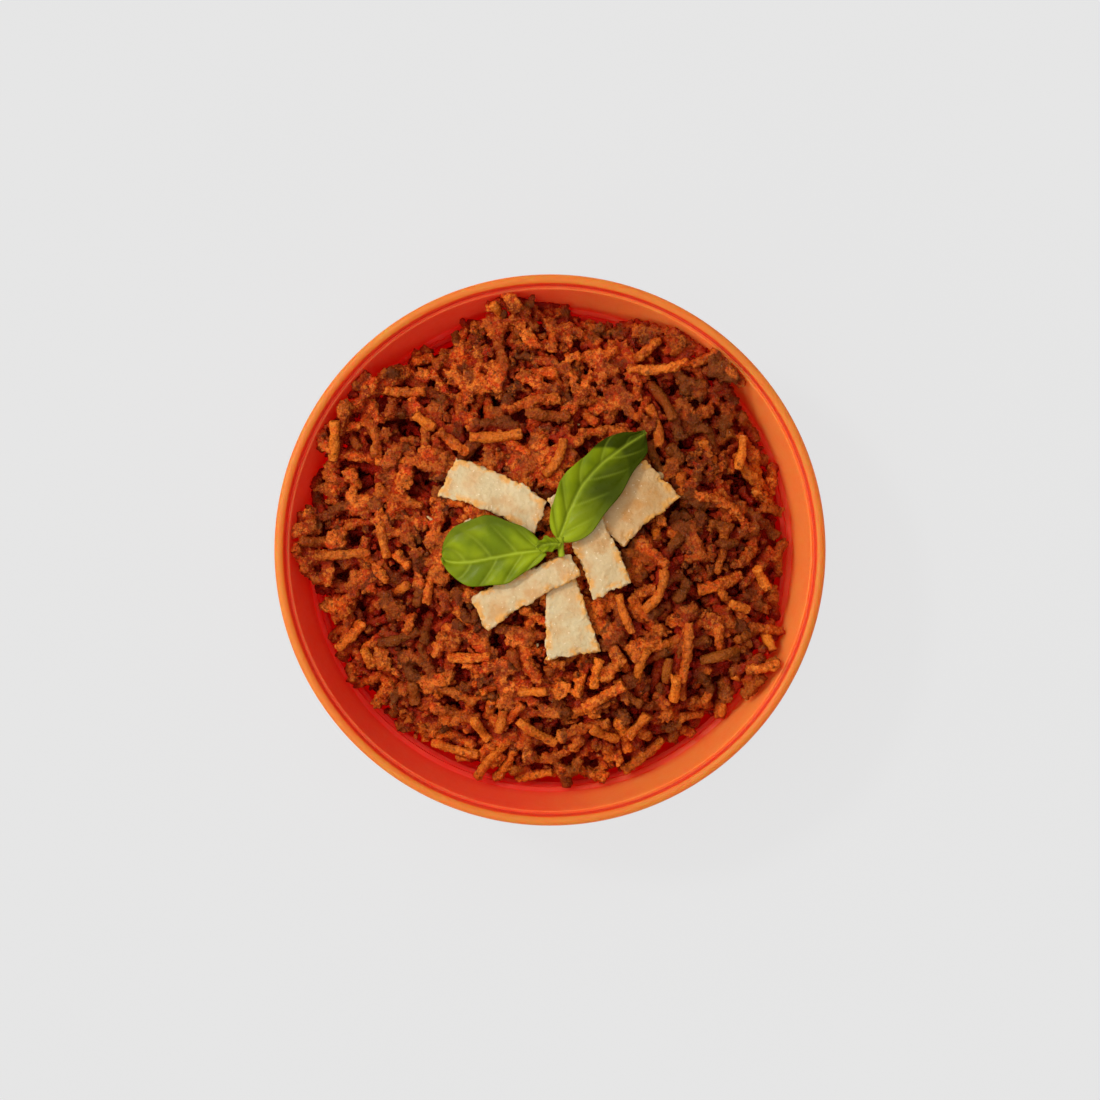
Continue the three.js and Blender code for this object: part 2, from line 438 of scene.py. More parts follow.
@dataclass(frozen=True)
class PlasticFinish:
    """Satin orange moulded plastic, with light and shade painted into its colour: redder deep in the bowl,
    red on the side away from the light, a dark line in the groove and a golden crest.

    Attributes:
        bright: Colour of the wall on the side that faces the light, painted as lit.
        deep: Colour low down in the bowl, painted shade that stands in for light bounced round inside it.
        crest: Colour of the rim's crest, painted as the light falls on the bead's top.
        shaded: Colour of the wall on the other side, painted shade.
        groove: Colour of the thin line inside the crest, painted shade in the groove.
        turn_band: Where across the bowl the wall starts to turn to the painted shade colour, and where it
            ends.
        groove_band: Radii where the groove's painted shade starts, is full, is last full and ends.
    """

    bright: tuple[int, int, int] = (228, 118, 50)
    deep: tuple[int, int, int] = (232, 40, 30)
    crest: tuple[int, int, int] = (197, 123, 38)
    shaded: tuple[int, int, int] = (246, 64, 42)
    groove: tuple[int, int, int] = (200, 60, 28)
    turn_band: tuple[float, float] = (32 * MM, -18 * MM)
    groove_band: tuple[float, float, float, float] = (76.45 * MM, 76.85 * MM, 77.2 * MM, 77.7 * MM)

    def material(self, rim_height: float) -> bpy.types.Material:
        """The plastic's material.

        Args:
            rim_height: The height of the bowl's crest.

        Returns:
            The material.
        """
        sheet = NodeSheet("orange_plastic")
        axes = sheet.node("ShaderNodeSeparateXYZ")
        sheet.wire(sheet.place(), axes.inputs[0])
        # Painted shade: low down in the bowl the wall turns to the deep red.
        lifted = sheet.steps(axes.outputs["Z"], rim_height * 0.5, rim_height * 0.7)
        # Painted light: the crest takes a golden colour that stands in for the light on the bead's top.
        crested = sheet.steps(axes.outputs["Z"], rim_height * 0.94, rim_height)
        cloudy = sheet.steps(sheet.noise(9 * MM, 3.0), 0.3, 0.7, 0.0, 0.16)
        # Painted shade: the side of the wall away from the key light turns to the shaded red.
        turned = sheet.steps(axes.outputs["X"], *self.turn_band, 0.0, 0.85)
        wall = sheet.mix(turned, srgb(*self.bright), srgb(*self.shaded))
        colour = sheet.mix(lifted, srgb(*self.deep), wall)
        # Painted shade: a dark ring in the groove just inside the crest.
        squares = [sheet.math("MULTIPLY", axes.outputs[axis], axes.outputs[axis]) for axis in "XY"]
        reach = sheet.math("POWER", sheet.math("ADD", *squares), 0.5)
        starts, full, last_full, ends = self.groove_band
        inner = sheet.steps(reach, starts, full)
        outer = sheet.steps(reach, ends, last_full)
        colour = sheet.mix(crested, colour, srgb(*self.crest))
        colour = sheet.mix(sheet.math("MULTIPLY", inner, outer), colour, srgb(*self.groove))
        colour = sheet.mix(cloudy, colour, srgb(*self.deep))
        roughness = sheet.steps(sheet.noise(1.2 * MM, 3.0), 0.2, 0.8, 0.42, 0.54)
        grain = sheet.bump(sheet.noise(0.35 * MM, 3.0), 0.03 * MM, 0.5)
        return sheet.finish(
            colour, roughness, grain,
            Specular_IOR_Level=0.2, Subsurface_Weight=1.0, Subsurface_Scale=12 * MM,
            Subsurface_Radius=(1.0, 0.1, 0.04),
        )


@dataclass(frozen=True)
class SauceFinish:
    """Pasta and mince under a rough tomato sauce, with painted shade in its gaps and creases and painted
    light on its crests.

    Attributes:
        name: The material's name.
        pasta: Colour where little sauce lies.
        sauce: Colour under thick sauce.
        mince: Colour of the browned grains of meat.
        grain_share: How much of the surface the brown grains take, from 0 to 1.
        light: Colour of the palest grains, and of the painted light on raised crests.
        deep: Colour down in the heap's gaps and creases, painted shade.
        tomato: Colour of the bits of tomato.
        herb: Colour of the flecks of herb.
        browned: Colour of the darkest meat.
    """

    name: str
    pasta: tuple[int, int, int]
    sauce: tuple[int, int, int]
    mince: tuple[int, int, int]
    grain_share: float
    light: tuple[int, int, int] = (238, 134, 44)
    deep: tuple[int, int, int] = (150, 16, 2)
    tomato: tuple[int, int, int] = (206, 36, 8)
    herb: tuple[int, int, int] = (46, 30, 4)
    browned: tuple[int, int, int] = (66, 32, 5)

    def material(self) -> bpy.types.Material:
        """The material, which reads how sauced, how dark, how deep and how raised each vertex is, and
        paints shade into gaps and creases and light onto crests.

        Returns:
            The material.
        """
        sheet = NodeSheet(self.name)
        pasta, sauce, mince = srgb(*self.pasta), srgb(*self.sauce), srgb(*self.mince)
        light, deep = srgb(*self.light), srgb(*self.deep)
        crest = sheet.attribute("crest")
        mottle = sheet.math("SUBTRACT", sheet.noise(2.2 * MM, 4.0, 0.6), 0.5)
        coated = sheet.steps(sheet.math("ADD", sheet.attribute("sauce"), mottle), 0.1, 0.75)
        colour = sheet.mix(coated, pasta, sauce)
        # Painted light: raised crests turn paler, as lit tops do.
        colour = sheet.mix(sheet.steps(crest, 0.6, 1.0, 0.0, 0.35), colour, light)
        patches = sheet.noise(8 * MM, 2.0, 0.5)
        colour = sheet.mix(sheet.steps(patches, 0.5, 0.32, 0.0, 0.6), colour, mince)
        colour = sheet.mix(sheet.steps(patches, 0.56, 0.7, 0.0, 0.35), colour, light)
        edge = 0.66 - 0.3 * self.grain_share
        brown = sheet.noise(1.6 * MM, 3.0, 0.65)
        colour = sheet.mix(sheet.steps(brown, edge, edge + 0.12, 0.0, 0.75), colour, mince)
        red = sheet.noise(3.4 * MM, 2.0, 0.5, sheet.place((1, 1, 1), 1.1))
        colour = sheet.mix(sheet.steps(red, 0.57, 0.68, 0.0, 0.5), colour, srgb(*self.tomato))
        bits = sheet.grains(1.0 * MM)
        colour = sheet.mix(sheet.steps(bits, 0.74, 0.8, 0.0, 0.3 + 0.4 * self.grain_share), colour, mince)
        colour = sheet.mix(sheet.steps(bits, 0.24, 0.18, 0.0, 0.5), colour, light)
        speckle = sheet.noise(0.6 * MM, 4.0, 0.7)
        colour = sheet.mix(sheet.steps(speckle, 0.48, 0.34, 0.0, 0.55), colour, mince)
        colour = sheet.mix(sheet.steps(speckle, 0.53, 0.67, 0.0, 0.7), colour, light)
        flecks = sheet.grains(0.8 * MM, sheet.place((1, 1, 1), 0.6))
        colour = sheet.mix(sheet.steps(flecks, 0.965, 0.98, 0.0, 0.6), colour, srgb(*self.herb))
        tone = sheet.attribute("tone")
        # The stored tone holds random darkness, the darker patches and painted shade on the side away from
        # the key light.
        colour = sheet.mix(sheet.steps(tone, 0.0, 0.8, 0.6, 0.0), colour, mince)
        colour = sheet.mix(sheet.steps(tone, 0.22, 0.02, 0.0, 0.6), colour, srgb(*self.browned))
        # Painted shade: creases and places deep under the heap's top turn to the deep colour.
        colour = sheet.mix(sheet.steps(crest, 0.5, 0.0, 0.0, 0.5), colour, deep)
        colour = sheet.mix(sheet.steps(sheet.attribute("depth"), 0.1, 0.9, 0.0, 0.85), colour, deep)
        roughness = sheet.steps(sheet.noise(0.8 * MM, 2.0), 0.3, 0.7, 0.4, 0.7)
        grainy = sheet.bump(sheet.math("SUBTRACT", 1.0, sheet.cells(0.75 * MM)), 0.35 * MM, 0.9)
        coarse = sheet.bump(speckle, 0.5 * MM, 1.0, grainy)
        sheet.wire(coarse, sheet.shader.inputs["Coat Normal"])
        return sheet.finish(
            colour, roughness, coarse,
            Specular_IOR_Level=0.04, Coat_Weight=0.2, Coat_Roughness=0.1,
            Subsurface_Weight=0.1, Subsurface_Scale=0.8 * MM, Subsurface_Radius=(1.0, 0.2, 0.08),
        )


@dataclass(frozen=True)
class CheeseFinish:
    """Pale hard cheese, tan at its broken edges, with white grains.

    Attributes:
        pale: Its own colour.
        warm: Colour of its tan clouds, and of the painted shade on a shaving that lies under a leaf.
        rind: Colour of its broken edges.
        grain: Colour of its white grains.
        tan_and_shade: How far the tan clouds cover it, from 0 to 1, painted shade under a leaf included.
    """

    pale: tuple[int, int, int] = (202, 180, 135)
    warm: tuple[int, int, int] = (188, 130, 60)
    rind: tuple[int, int, int] = (212, 146, 56)
    grain: tuple[int, int, int] = (236, 216, 178)
    tan_and_shade: float = 0.3

    def material(self) -> bpy.types.Material:
        """The material, which reads how near each vertex is to the edge.

        Returns:
            The material.
        """
        sheet = NodeSheet("hard_cheese")
        edge = sheet.attribute("edge")
        clouds = sheet.noise(5 * MM, 3.0, 0.55)
        cloudy = sheet.steps(clouds, 0.4, 0.68, self.tan_and_shade * 0.6, min(1.0, self.tan_and_shade + 0.4))
        colour = sheet.mix(cloudy, srgb(*self.pale), srgb(*self.warm))
        stained = sheet.math("MULTIPLY", edge, sheet.steps(sheet.noise(2.6 * MM, 3.0), 0.38, 0.62))
        colour = sheet.mix(sheet.steps(stained, 0.12, 0.9, 0.0, 0.9), colour, srgb(*self.rind))
        white = sheet.steps(sheet.noise(0.9 * MM, 2.0, 0.5), 0.66, 0.74, 0.0, 0.7)
        colour = sheet.mix(white, colour, srgb(*self.grain))
        roughness = sheet.steps(sheet.noise(1.0 * MM, 2.0), 0.3, 0.7, 0.42, 0.62)
        layered = sheet.bump(sheet.noise(0.9 * MM, 4.0, 0.65), 0.3 * MM, 0.8)
        grainy = sheet.bump(sheet.noise(0.3 * MM, 2.0, 0.6), 0.08 * MM, 0.6, layered)
        return sheet.finish(
            colour, roughness, grainy,
            Subsurface_Weight=0.25, Subsurface_Scale=1.6 * MM, Subsurface_Radius=(1.0, 0.7, 0.35),
        )


@dataclass(frozen=True)
class BasilFinish:
    """A glossy green leaf with pale veins.

    Attributes:
        name: The material's name.
        blade: The blade's own colour.
        light: Colour of its lighter clouds.
        dark: Colour where it lies in shade.
        young: Colour near its base.
        vein: Colour of its veins.
    """

    name: str = "basil_leaf"
    blade: tuple[int, int, int] = (95, 111, 7)
    light: tuple[int, int, int] = (142, 155, 16)
    dark: tuple[int, int, int] = (42, 50, 1)
    young: tuple[int, int, int] = (152, 164, 22)
    vein: tuple[int, int, int] = (158, 170, 50)

    def material(self) -> bpy.types.Material:
        """The material, which reads how near a vein, how near the base and how much painted shade each
        vertex has.

        Returns:
            The material.
        """
        sheet = NodeSheet(self.name)
        clouds = sheet.noise(8 * MM, 2.0, 0.5)
        colour = sheet.mix(sheet.steps(clouds, 0.36, 0.68, 0.1, 0.8), srgb(*self.blade), srgb(*self.light))
        colour = sheet.mix(sheet.attribute("young"), colour, srgb(*self.young))
        colour = sheet.mix(sheet.attribute("shade"), colour, srgb(*self.dark))
        colour = sheet.mix(sheet.attribute("vein"), colour, srgb(*self.vein))
        roughness = sheet.steps(sheet.noise(1.5 * MM, 2.0), 0.3, 0.7, 0.24, 0.38)
        cells = sheet.bump(sheet.noise(0.5 * MM, 3.0, 0.6), 0.1 * MM, 0.5)
        return sheet.finish(
            colour, roughness, cells,
            Specular_IOR_Level=0.05, Subsurface_Weight=0.1, Subsurface_Scale=0.6 * MM,
            Subsurface_Radius=(0.5, 1.0, 0.1),
        )


# ---- Studio ----


@dataclass(frozen=True)
class Lamp:
    """A light from far off: its strength, how wide it looks, and where it stands, in degrees."""

    name: str
    strength: float
    spread: float
    azimuth: float
    elevation: float

    def build(self) -> None:
        """Adds the light, aimed at the dish."""
        data = bpy.data.lights.new(self.name, "SUN")
        data.angle = math.radians(self.spread)
        data.energy = self.strength
        lamp = bpy.data.objects.new(self.name, data)
        turn, rise = math.radians(self.azimuth), math.radians(self.elevation)
        towards = Vector((math.cos(turn) * math.cos(rise), math.sin(turn) * math.cos(rise), math.sin(rise)))
        lamp.location = towards
        lamp.rotation_euler = (-towards).to_track_quat("-Z", "Y").to_euler()
        bpy.context.scene.collection.objects.link(lamp)


@dataclass(frozen=True)
class Studio:
    """The plain floor, the soft lights and the camera straight above the dish."""

    bowl_share: float = 0.502
    camera_height: float = 1.0
    sensor: float = 36.0
    floor_side: float = 6.0
    floor_colour: tuple[int, int, int] = (60, 60, 60)
    floor_glow: float = 0.73
    room_light: float = 0.28
    key: Lamp = Lamp("key", 2.4, 95.0, 180.0, 62.0)
    glint: Lamp = Lamp("glint", 1.35, 8.0, 150.0, 50.0)

    def build_camera(self, diameter: float, rim_height: float) -> None:
        """Adds the camera.

        Args:
            diameter: The bowl's diameter.
            rim_height: The height of its crest, over which the camera's height is measured.
        """
        data = bpy.data.cameras.new("camera")
        data.sensor_width = self.sensor
        data.lens = self.sensor * self.camera_height * self.bowl_share / diameter
        data.clip_start = 0.01
        camera = bpy.data.objects.new("camera", data)
        camera.location = (0, 0, rim_height + self.camera_height)
        bpy.context.scene.collection.objects.link(camera)
        bpy.context.scene.camera = camera

    def build_floor(self) -> None:
        """Adds the floor."""
        shape = bmesh.new()
        bmesh.ops.create_grid(shape, x_segments=1, y_segments=1, size=self.floor_side / 2)
        floor = piece_from_bmesh("floor", shape)
        sheet = NodeSheet("pale_floor")
        grain = sheet.bump(sheet.noise(2 * MM, 2.0), 0.02 * MM, 0.2)
        mottle = sheet.steps(sheet.noise(80 * MM), 0.3, 0.7, 0.0, 0.01)
        colour = sheet.mix(mottle, srgb(*self.floor_colour), (0.3, 0.3, 0.3, 1))
        material = sheet.finish(
            colour, 0.9, grain,
            Specular_IOR_Level=0.0, Emission_Color=(1, 1, 1, 1), Emission_Strength=self.floor_glow,
        )
        floor.data.materials.append(material)

    def build_lights(self) -> None:
        """Adds the wide key light, a small one that makes wet things glint, and the light of the room."""
        self.key.build()
        self.glint.build()
        world = bpy.data.worlds.new("room")
        world.use_nodes = True
        world.node_tree.nodes["Background"].inputs["Strength"].default_value = self.room_light
        world.node_tree.nodes["Background"].inputs["Color"].default_value = (1, 1, 1, 1)
        bpy.context.scene.world = world
        bpy.context.scene.view_settings.view_transform = "Standard"


# ---- Bowl ----


@dataclass(frozen=True)
class Bowl:
    """The bowl: a foot ring, a rounded body, two stacking steps, a flared wall, a lid seat and a bead.

    The radius and height come from the frame; the other sizes are the moulding's own.
    """

    radius: float
    height: float
    wall: float = 1.8 * MM
    floor_radius: float = 40 * MM
    floor_top: float = 3 * MM
    foot_outer: float = 44 * MM
    foot_inner: float = 41 * MM
    foot_chamfer: float = 0.3 * MM
    bead_radius: float = 1.5 * MM
    bead_depth: float = 4.5 * MM
    seat_radius: float = 76 * MM
    seat_drop: float = 2.4 * MM
    seat_lip: float = 0.4 * MM
    flare_top: float = 75.6 * MM
    flare_bottom: float = 71.6 * MM
    flare_height: float = 18.6 * MM
    step_count: int = 2
    step_tread: float = 1.5 * MM
    step_riser: float = 1.6 * MM
    step_fall: float = 0.3 * MM
    arc_steps: int = 16
    turns: int = 192
    edge_round: float = 0.22 * MM

    @property
    def flare_top_height(self) -> float:
        """Height of the flared wall's upper edge."""
        return self.height - self.seat_drop

    @property
    def flare_bottom_height(self) -> float:
        """Height of the flared wall's lower edge."""
        return self.flare_top_height - self.flare_height

    def wall_radius(self, height: np.ndarray) -> np.ndarray:
        """Radius of the inner face of the flared wall at a height, or of the body under it.

        Args:
            height: The heights.

        Returns:
            The radius at each.
        """
        share = (height - self.flare_bottom_height) / self.flare_height
        flare = self.flare_bottom + (self.flare_top - self.flare_bottom) * share
        body = self.flare_bottom - self.step_count * self.step_tread
        return np.where(height < self.flare_bottom_height, body, flare)

    def body_radius(self, height: float) -> float:
        """Radius of the inner face of the rounded body at a height, under the steps.

        Args:
            height: The height.

        Returns:
            The radius.
        """
        top = self.flare_bottom_height - self.step_count * self.step_riser
        body = self.flare_bottom - self.step_count * self.step_tread
        drop = min(1.0, max(0.0, (top - height) / (top - self.floor_top)))
        return self.floor_radius + (body - self.floor_radius) * math.sqrt(1 - drop ** 2)

    def corner(self, offset: float) -> list[tuple[float, float]]:
        """The rounded corner from the wall down to the floor, grown outwards by an offset.

        Args:
            offset: How far it is grown.

        Returns:
            Its points, as radius and height.
        """
        top = self.flare_bottom_height - self.step_count * self.step_riser
        width = self.flare_bottom - self.step_count * self.step_tread - self.floor_radius + offset
        depth = top - self.floor_top + offset
        turns = [math.pi / 2 * i / self.arc_steps for i in range(self.arc_steps + 1)]
        return [(self.floor_radius + width * math.cos(t), top - depth * math.sin(t)) for t in turns]

    def outline(self) -> list[tuple[float, float]]:
        """The moulding's section as radius and height, from under the floor over the bead to its top.

        Returns:
            Its points, as radius and height.
        """
        underside = self.floor_top - self.wall
        points = [(0.0, underside), (self.foot_inner, underside)]
        points += [(self.foot_inner + self.foot_chamfer, 0.0), (self.foot_outer - self.foot_chamfer, 0.0)]
        points += self.corner(self.wall)[-2::-1]
        points += [(self.flare_bottom + self.wall, self.flare_bottom_height - self.wall)]
        points += [(self.flare_top + self.wall, self.height - self.bead_depth)]
        points += [(self.radius, self.height - self.bead_depth)]
        for i in range(self.arc_steps + 1):
            turn = math.pi * i / self.arc_steps
            across = self.radius - self.bead_radius + self.bead_radius * math.cos(turn)
            points.append((across, self.height - self.bead_radius + self.bead_radius * math.sin(turn)))
        points += [(self.radius - 2 * self.bead_radius - 0.1 * MM, self.flare_top_height)]
        points += [(self.seat_radius + self.seat_lip, self.flare_top_height)]
        points += [(self.seat_radius, self.flare_top_height + self.seat_lip)]
        points += [(self.flare_top, self.flare_top_height), (self.flare_bottom, self.flare_bottom_height)]
        for step in range(self.step_count):
            radius = self.flare_bottom - (step + 1) * self.step_tread
            height = self.flare_bottom_height - step * self.step_riser
            points += [(radius, height - self.step_fall), (radius, height - self.step_riser)]
        return points + self.corner(0.0)[1:] + [(0.0, self.floor_top)]

    def build(self) -> bpy.types.Object:
        """Spins the section round and eases its sharp corners.

        Returns:
            What it makes, finished.
        """
        shape = bmesh.new()
        section = [shape.verts.new((radius, 0, height)) for radius, height in self.outline()]
        edges = [shape.edges.new(pair) for pair in zip(section, section[1:])]
        bmesh.ops.spin(
            shape, geom=section + edges, cent=(0, 0, 0), axis=(0, 0, 1),
            angle=2 * math.pi, steps=self.turns, use_merge=True,
        )
        bmesh.ops.remove_doubles(shape, verts=shape.verts, dist=0.001 * MM)
        bmesh.ops.recalc_face_normals(shape, faces=shape.faces)
        corners = [
            edge for edge in shape.edges
            if edge.calc_face_angle(0.0) > math.radians(28)
            and abs(edge.verts[0].co.z - edge.verts[1].co.z) < 0.001 * MM
        ]
        bmesh.ops.bevel(
            shape, geom=corners, offset=self.edge_round, affect="EDGES",
            segments=2, profile=0.5, material=-1, clamp_overlap=True,
        )
        piece = piece_from_bmesh("bowl_moulding", shape)
        piece.data.materials.append(PlasticFinish().material(self.height))
        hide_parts("bowl")
        return piece


# ---- The heap ----


class Coat(Enum):
    """What a strand or a lump of the heap is made of, and the name of the piece that it joins."""

    THICK = "thickly_sauced_spaghetti"
    THIN = "thinly_sauced_spaghetti"
    CLEAN = "clean_spaghetti"
    MINCE = "browned_mince"


@dataclass(frozen=True)
class Making:
    """How one kind of food in the heap is melted together, roughened and coloured.

    Attributes:
        finish: Its material.
        voxel: The size of the finest detail kept.
        melt: How many rounds of smoothing fill the creases.
        lumpy: Height of its lumps.
        grainy: Height of its grains.
        grain: How large its grains are.
        most: The most triangles that it may have.
    """

    finish: SauceFinish
    voxel: float
    melt: int
    lumpy: float
    grainy: float
    grain: float
    most: int


MAKINGS = {
    Coat.THICK: Making(
        SauceFinish("thick_sauce", (222, 92, 12), (202, 58, 6), (104, 32, 3), 0.35),
        0.5 * MM, 4, 1.4 * MM, 1.5 * MM, 1.3 * MM, 195000,
    ),
    Coat.THIN: Making(
        SauceFinish("thin_sauce", (230, 110, 18), (210, 70, 8), (116, 40, 4), 0.2),
        0.48 * MM, 1, 0.9 * MM, 0.8 * MM, 1.1 * MM, 195000,
    ),
    Coat.CLEAN: Making(
        SauceFinish("wet_pasta", (228, 124, 26), (212, 92, 14), (150, 62, 10), 0.1),
        0.42 * MM, 1, 0.4 * MM, 0.4 * MM, 0.9 * MM, 120000,
    ),
    Coat.MINCE: Making(
        SauceFinish("mince_in_sauce", (160, 66, 10), (130, 42, 5), (66, 28, 3), 0.5, light=(206, 104, 30)),
        0.5 * MM, 1, 0.9 * MM, 1.1 * MM, 1.2 * MM, 195000,
    ),
}


@dataclass
class Strand:
    """One short piece of spaghetti that lies in the heap.

    Attributes:
        line: Its centreline, one point to a row.
        radius: Its radius with its sauce.
        coat: How much sauce it carries.
        tone: How light it is, from 0 to 1, painted shade on the far side from the key included.
        sauce: How far sauce hides the pasta's own colour, from 0 to 1.
    """

    line: np.ndarray
    radius: float
    coat: Coat
    tone: float
    sauce: float


@dataclass
class Lump:
    """A grain of mince or a patch of sauce: its middle, half sizes, turn, kind, tone and sauce."""

    middle: np.ndarray
    size: np.ndarray
    turn: np.ndarray
    coat: Coat
    tone: float
    sauce: float


@dataclass(frozen=True)
class Placed:
    """A strand that lies on top, where the eye is drawn to it.

    Attributes:
        x: Where its middle is across, in millimetres.
        y: Where its middle is along, in millimetres.
        heading: Its heading, in degrees.
        length: Its length, in millimetres.
        coat: How much sauce it carries.
        bend: How far it turns from end to end, in degrees.
    """

    x: float
    y: float
    heading: float
    length: float
    coat: Coat = Coat.THIN
    bend: float = 8.0


# The strands that lie on top of the heap.
TOP_STRANDS = (
    Placed(-42, 46, -3, 13),
    Placed(-62.5, 31.8, 85, 12, Coat.CLEAN),
    Placed(-60.2, -1.4, 3, 17),
    Placed(-58.1, -25.3, 43, 12),
    Placed(-27.4, -58.8, -15, 15, Coat.CLEAN),
    Placed(-17, -60.4, 51, 16, Coat.CLEAN, -14),
    Placed(-4.1, -53.4, -32, 14, Coat.CLEAN),
    Placed(-14.1, -49.5, 75, 8, Coat.CLEAN),
    Placed(-20.2, -52.5, -55, 9, Coat.CLEAN),
    Placed(16, -42.6, 29, 14.5),
    Placed(31.8, -12, 62, 14.5, Coat.CLEAN, 34),
    Placed(29.8, -0.9, -45, 12, Coat.THICK),
    Placed(21.5, -19, -70, 13, Coat.CLEAN, 12),
    Placed(39.8, -29.6, 84, 18.5),
    Placed(36.6, -39.8, 85, 8, Coat.CLEAN),
    Placed(55.5, -16.7, -22, 7, Coat.CLEAN),
    Placed(62.2, -8.9, -60, 8, Coat.CLEAN),
    Placed(31.7, 52.6, 6, 19, Coat.THIN, 20),
    Placed(28.7, 58.6, 41, 10),
    Placed(-15.2, 32.7, 4, 16, Coat.CLEAN),
    Placed(-36, 36.9, -35, 8, Coat.CLEAN),
    Placed(-28.6, 31.3, -40, 10, Coat.THIN),
    Placed(52.3, 12.8, -32, 18, Coat.THICK, -34),
    Placed(56, 28.5, 80, 11, Coat.CLEAN),
    Placed(12.5, 57, 9, 16, Coat.THICK),
    Placed(15.8, -53.9, -23, 9, Coat.CLEAN),
    Placed(25.9, -51.1, 48, 9, Coat.CLEAN),
    Placed(63.6, -23.2, -10, 11),
    Placed(62, -34.3, 11, 11),
    Placed(-23, -31.3, 2, 13),
    Placed(-5, -41.2, 2, 9, Coat.CLEAN),
    Placed(2.5, 26.5, 60, 13, Coat.CLEAN, 30),
    Placed(-43, 14.5, -20, 15, Coat.THICK),
)

# Clusters of mince: across, along and spread, in millimetres.
MINCE_CLOTS = (
    (-42.9, -49.5, 7.5), (43, -1.5, 7), (23.6, 62.3, 5), (-13.4, 29, 5), (-39.2, 8.7, 4), (44, 26, 6),
    (3.3, 64.1, 5), (-19, -40, 4), (58, -30, 4), (-52, -8, 4), (-23, 64, 5), (40, 60, 4),
)

# Gaps between the strands: across, along and half size, in millimetres.
HOLLOWS = (
    (-53.7, 22.5, 3.6), (-41.7, 35.5, 3.6), (-18.7, 42.7, 3.4), (-37.9, 17.7, 3.4), (-57.1, 2.3, 3.2),
    (-23.5, 61.4, 2.2), (35.8, 45.6, 3.2), (39.9, 31.3, 3.2), (53.7, 20, 4), (57.8, 14.4, 2.8),
    (36.8, 11.8, 2.8), (-52.8, -17.4, 4), (-61.5, -6.7, 2.8), (-35.9, -19, 3.4), (-27.8, -9.8, 2.6),
    (-26.2, -35.9, 2.8), (-14.5, -27.1, 2.6), (0.4, -52.7, 3.2), (-26.7, -45.1, 2.4), (20, 38, 3),
    (42, -14, 3), (50, -36, 3), (30, -34, 3), (12, -62, 2.6),
)

# Darker patches of the heap: across, along and half size, in millimetres.
DARK_PLACES = (
    (-12, 35, 7), (-21, 68, 7), (3.5, 67, 5), (23, 62, 5), (40, 47, 9), (46, 35, 9), (38, 28, 6),
    (42, 10, 8), (52, 4, 7), (33, -10, 6), (-47, -19, 8), (-30, -12, 6), (-22, -22, 6), (-35, -25, 6),
    (-42, -47, 8), (-2, -51, 6), (28, -44, 6), (35, -35, 7), (56, -18, 7), (-68, 9, 6), (-53, 29, 6),
    (-40, 34, 5), (12, -30, 5),
)

# Where the food climbs the wall: bearing in degrees, and how far past the outline in millimetres.
CLIMBS = ((45, 3.0), (62, 2.0), (100, 3.0), (134, 2.4), (150, 3.0), (178, 3.4), (330, 3.2))


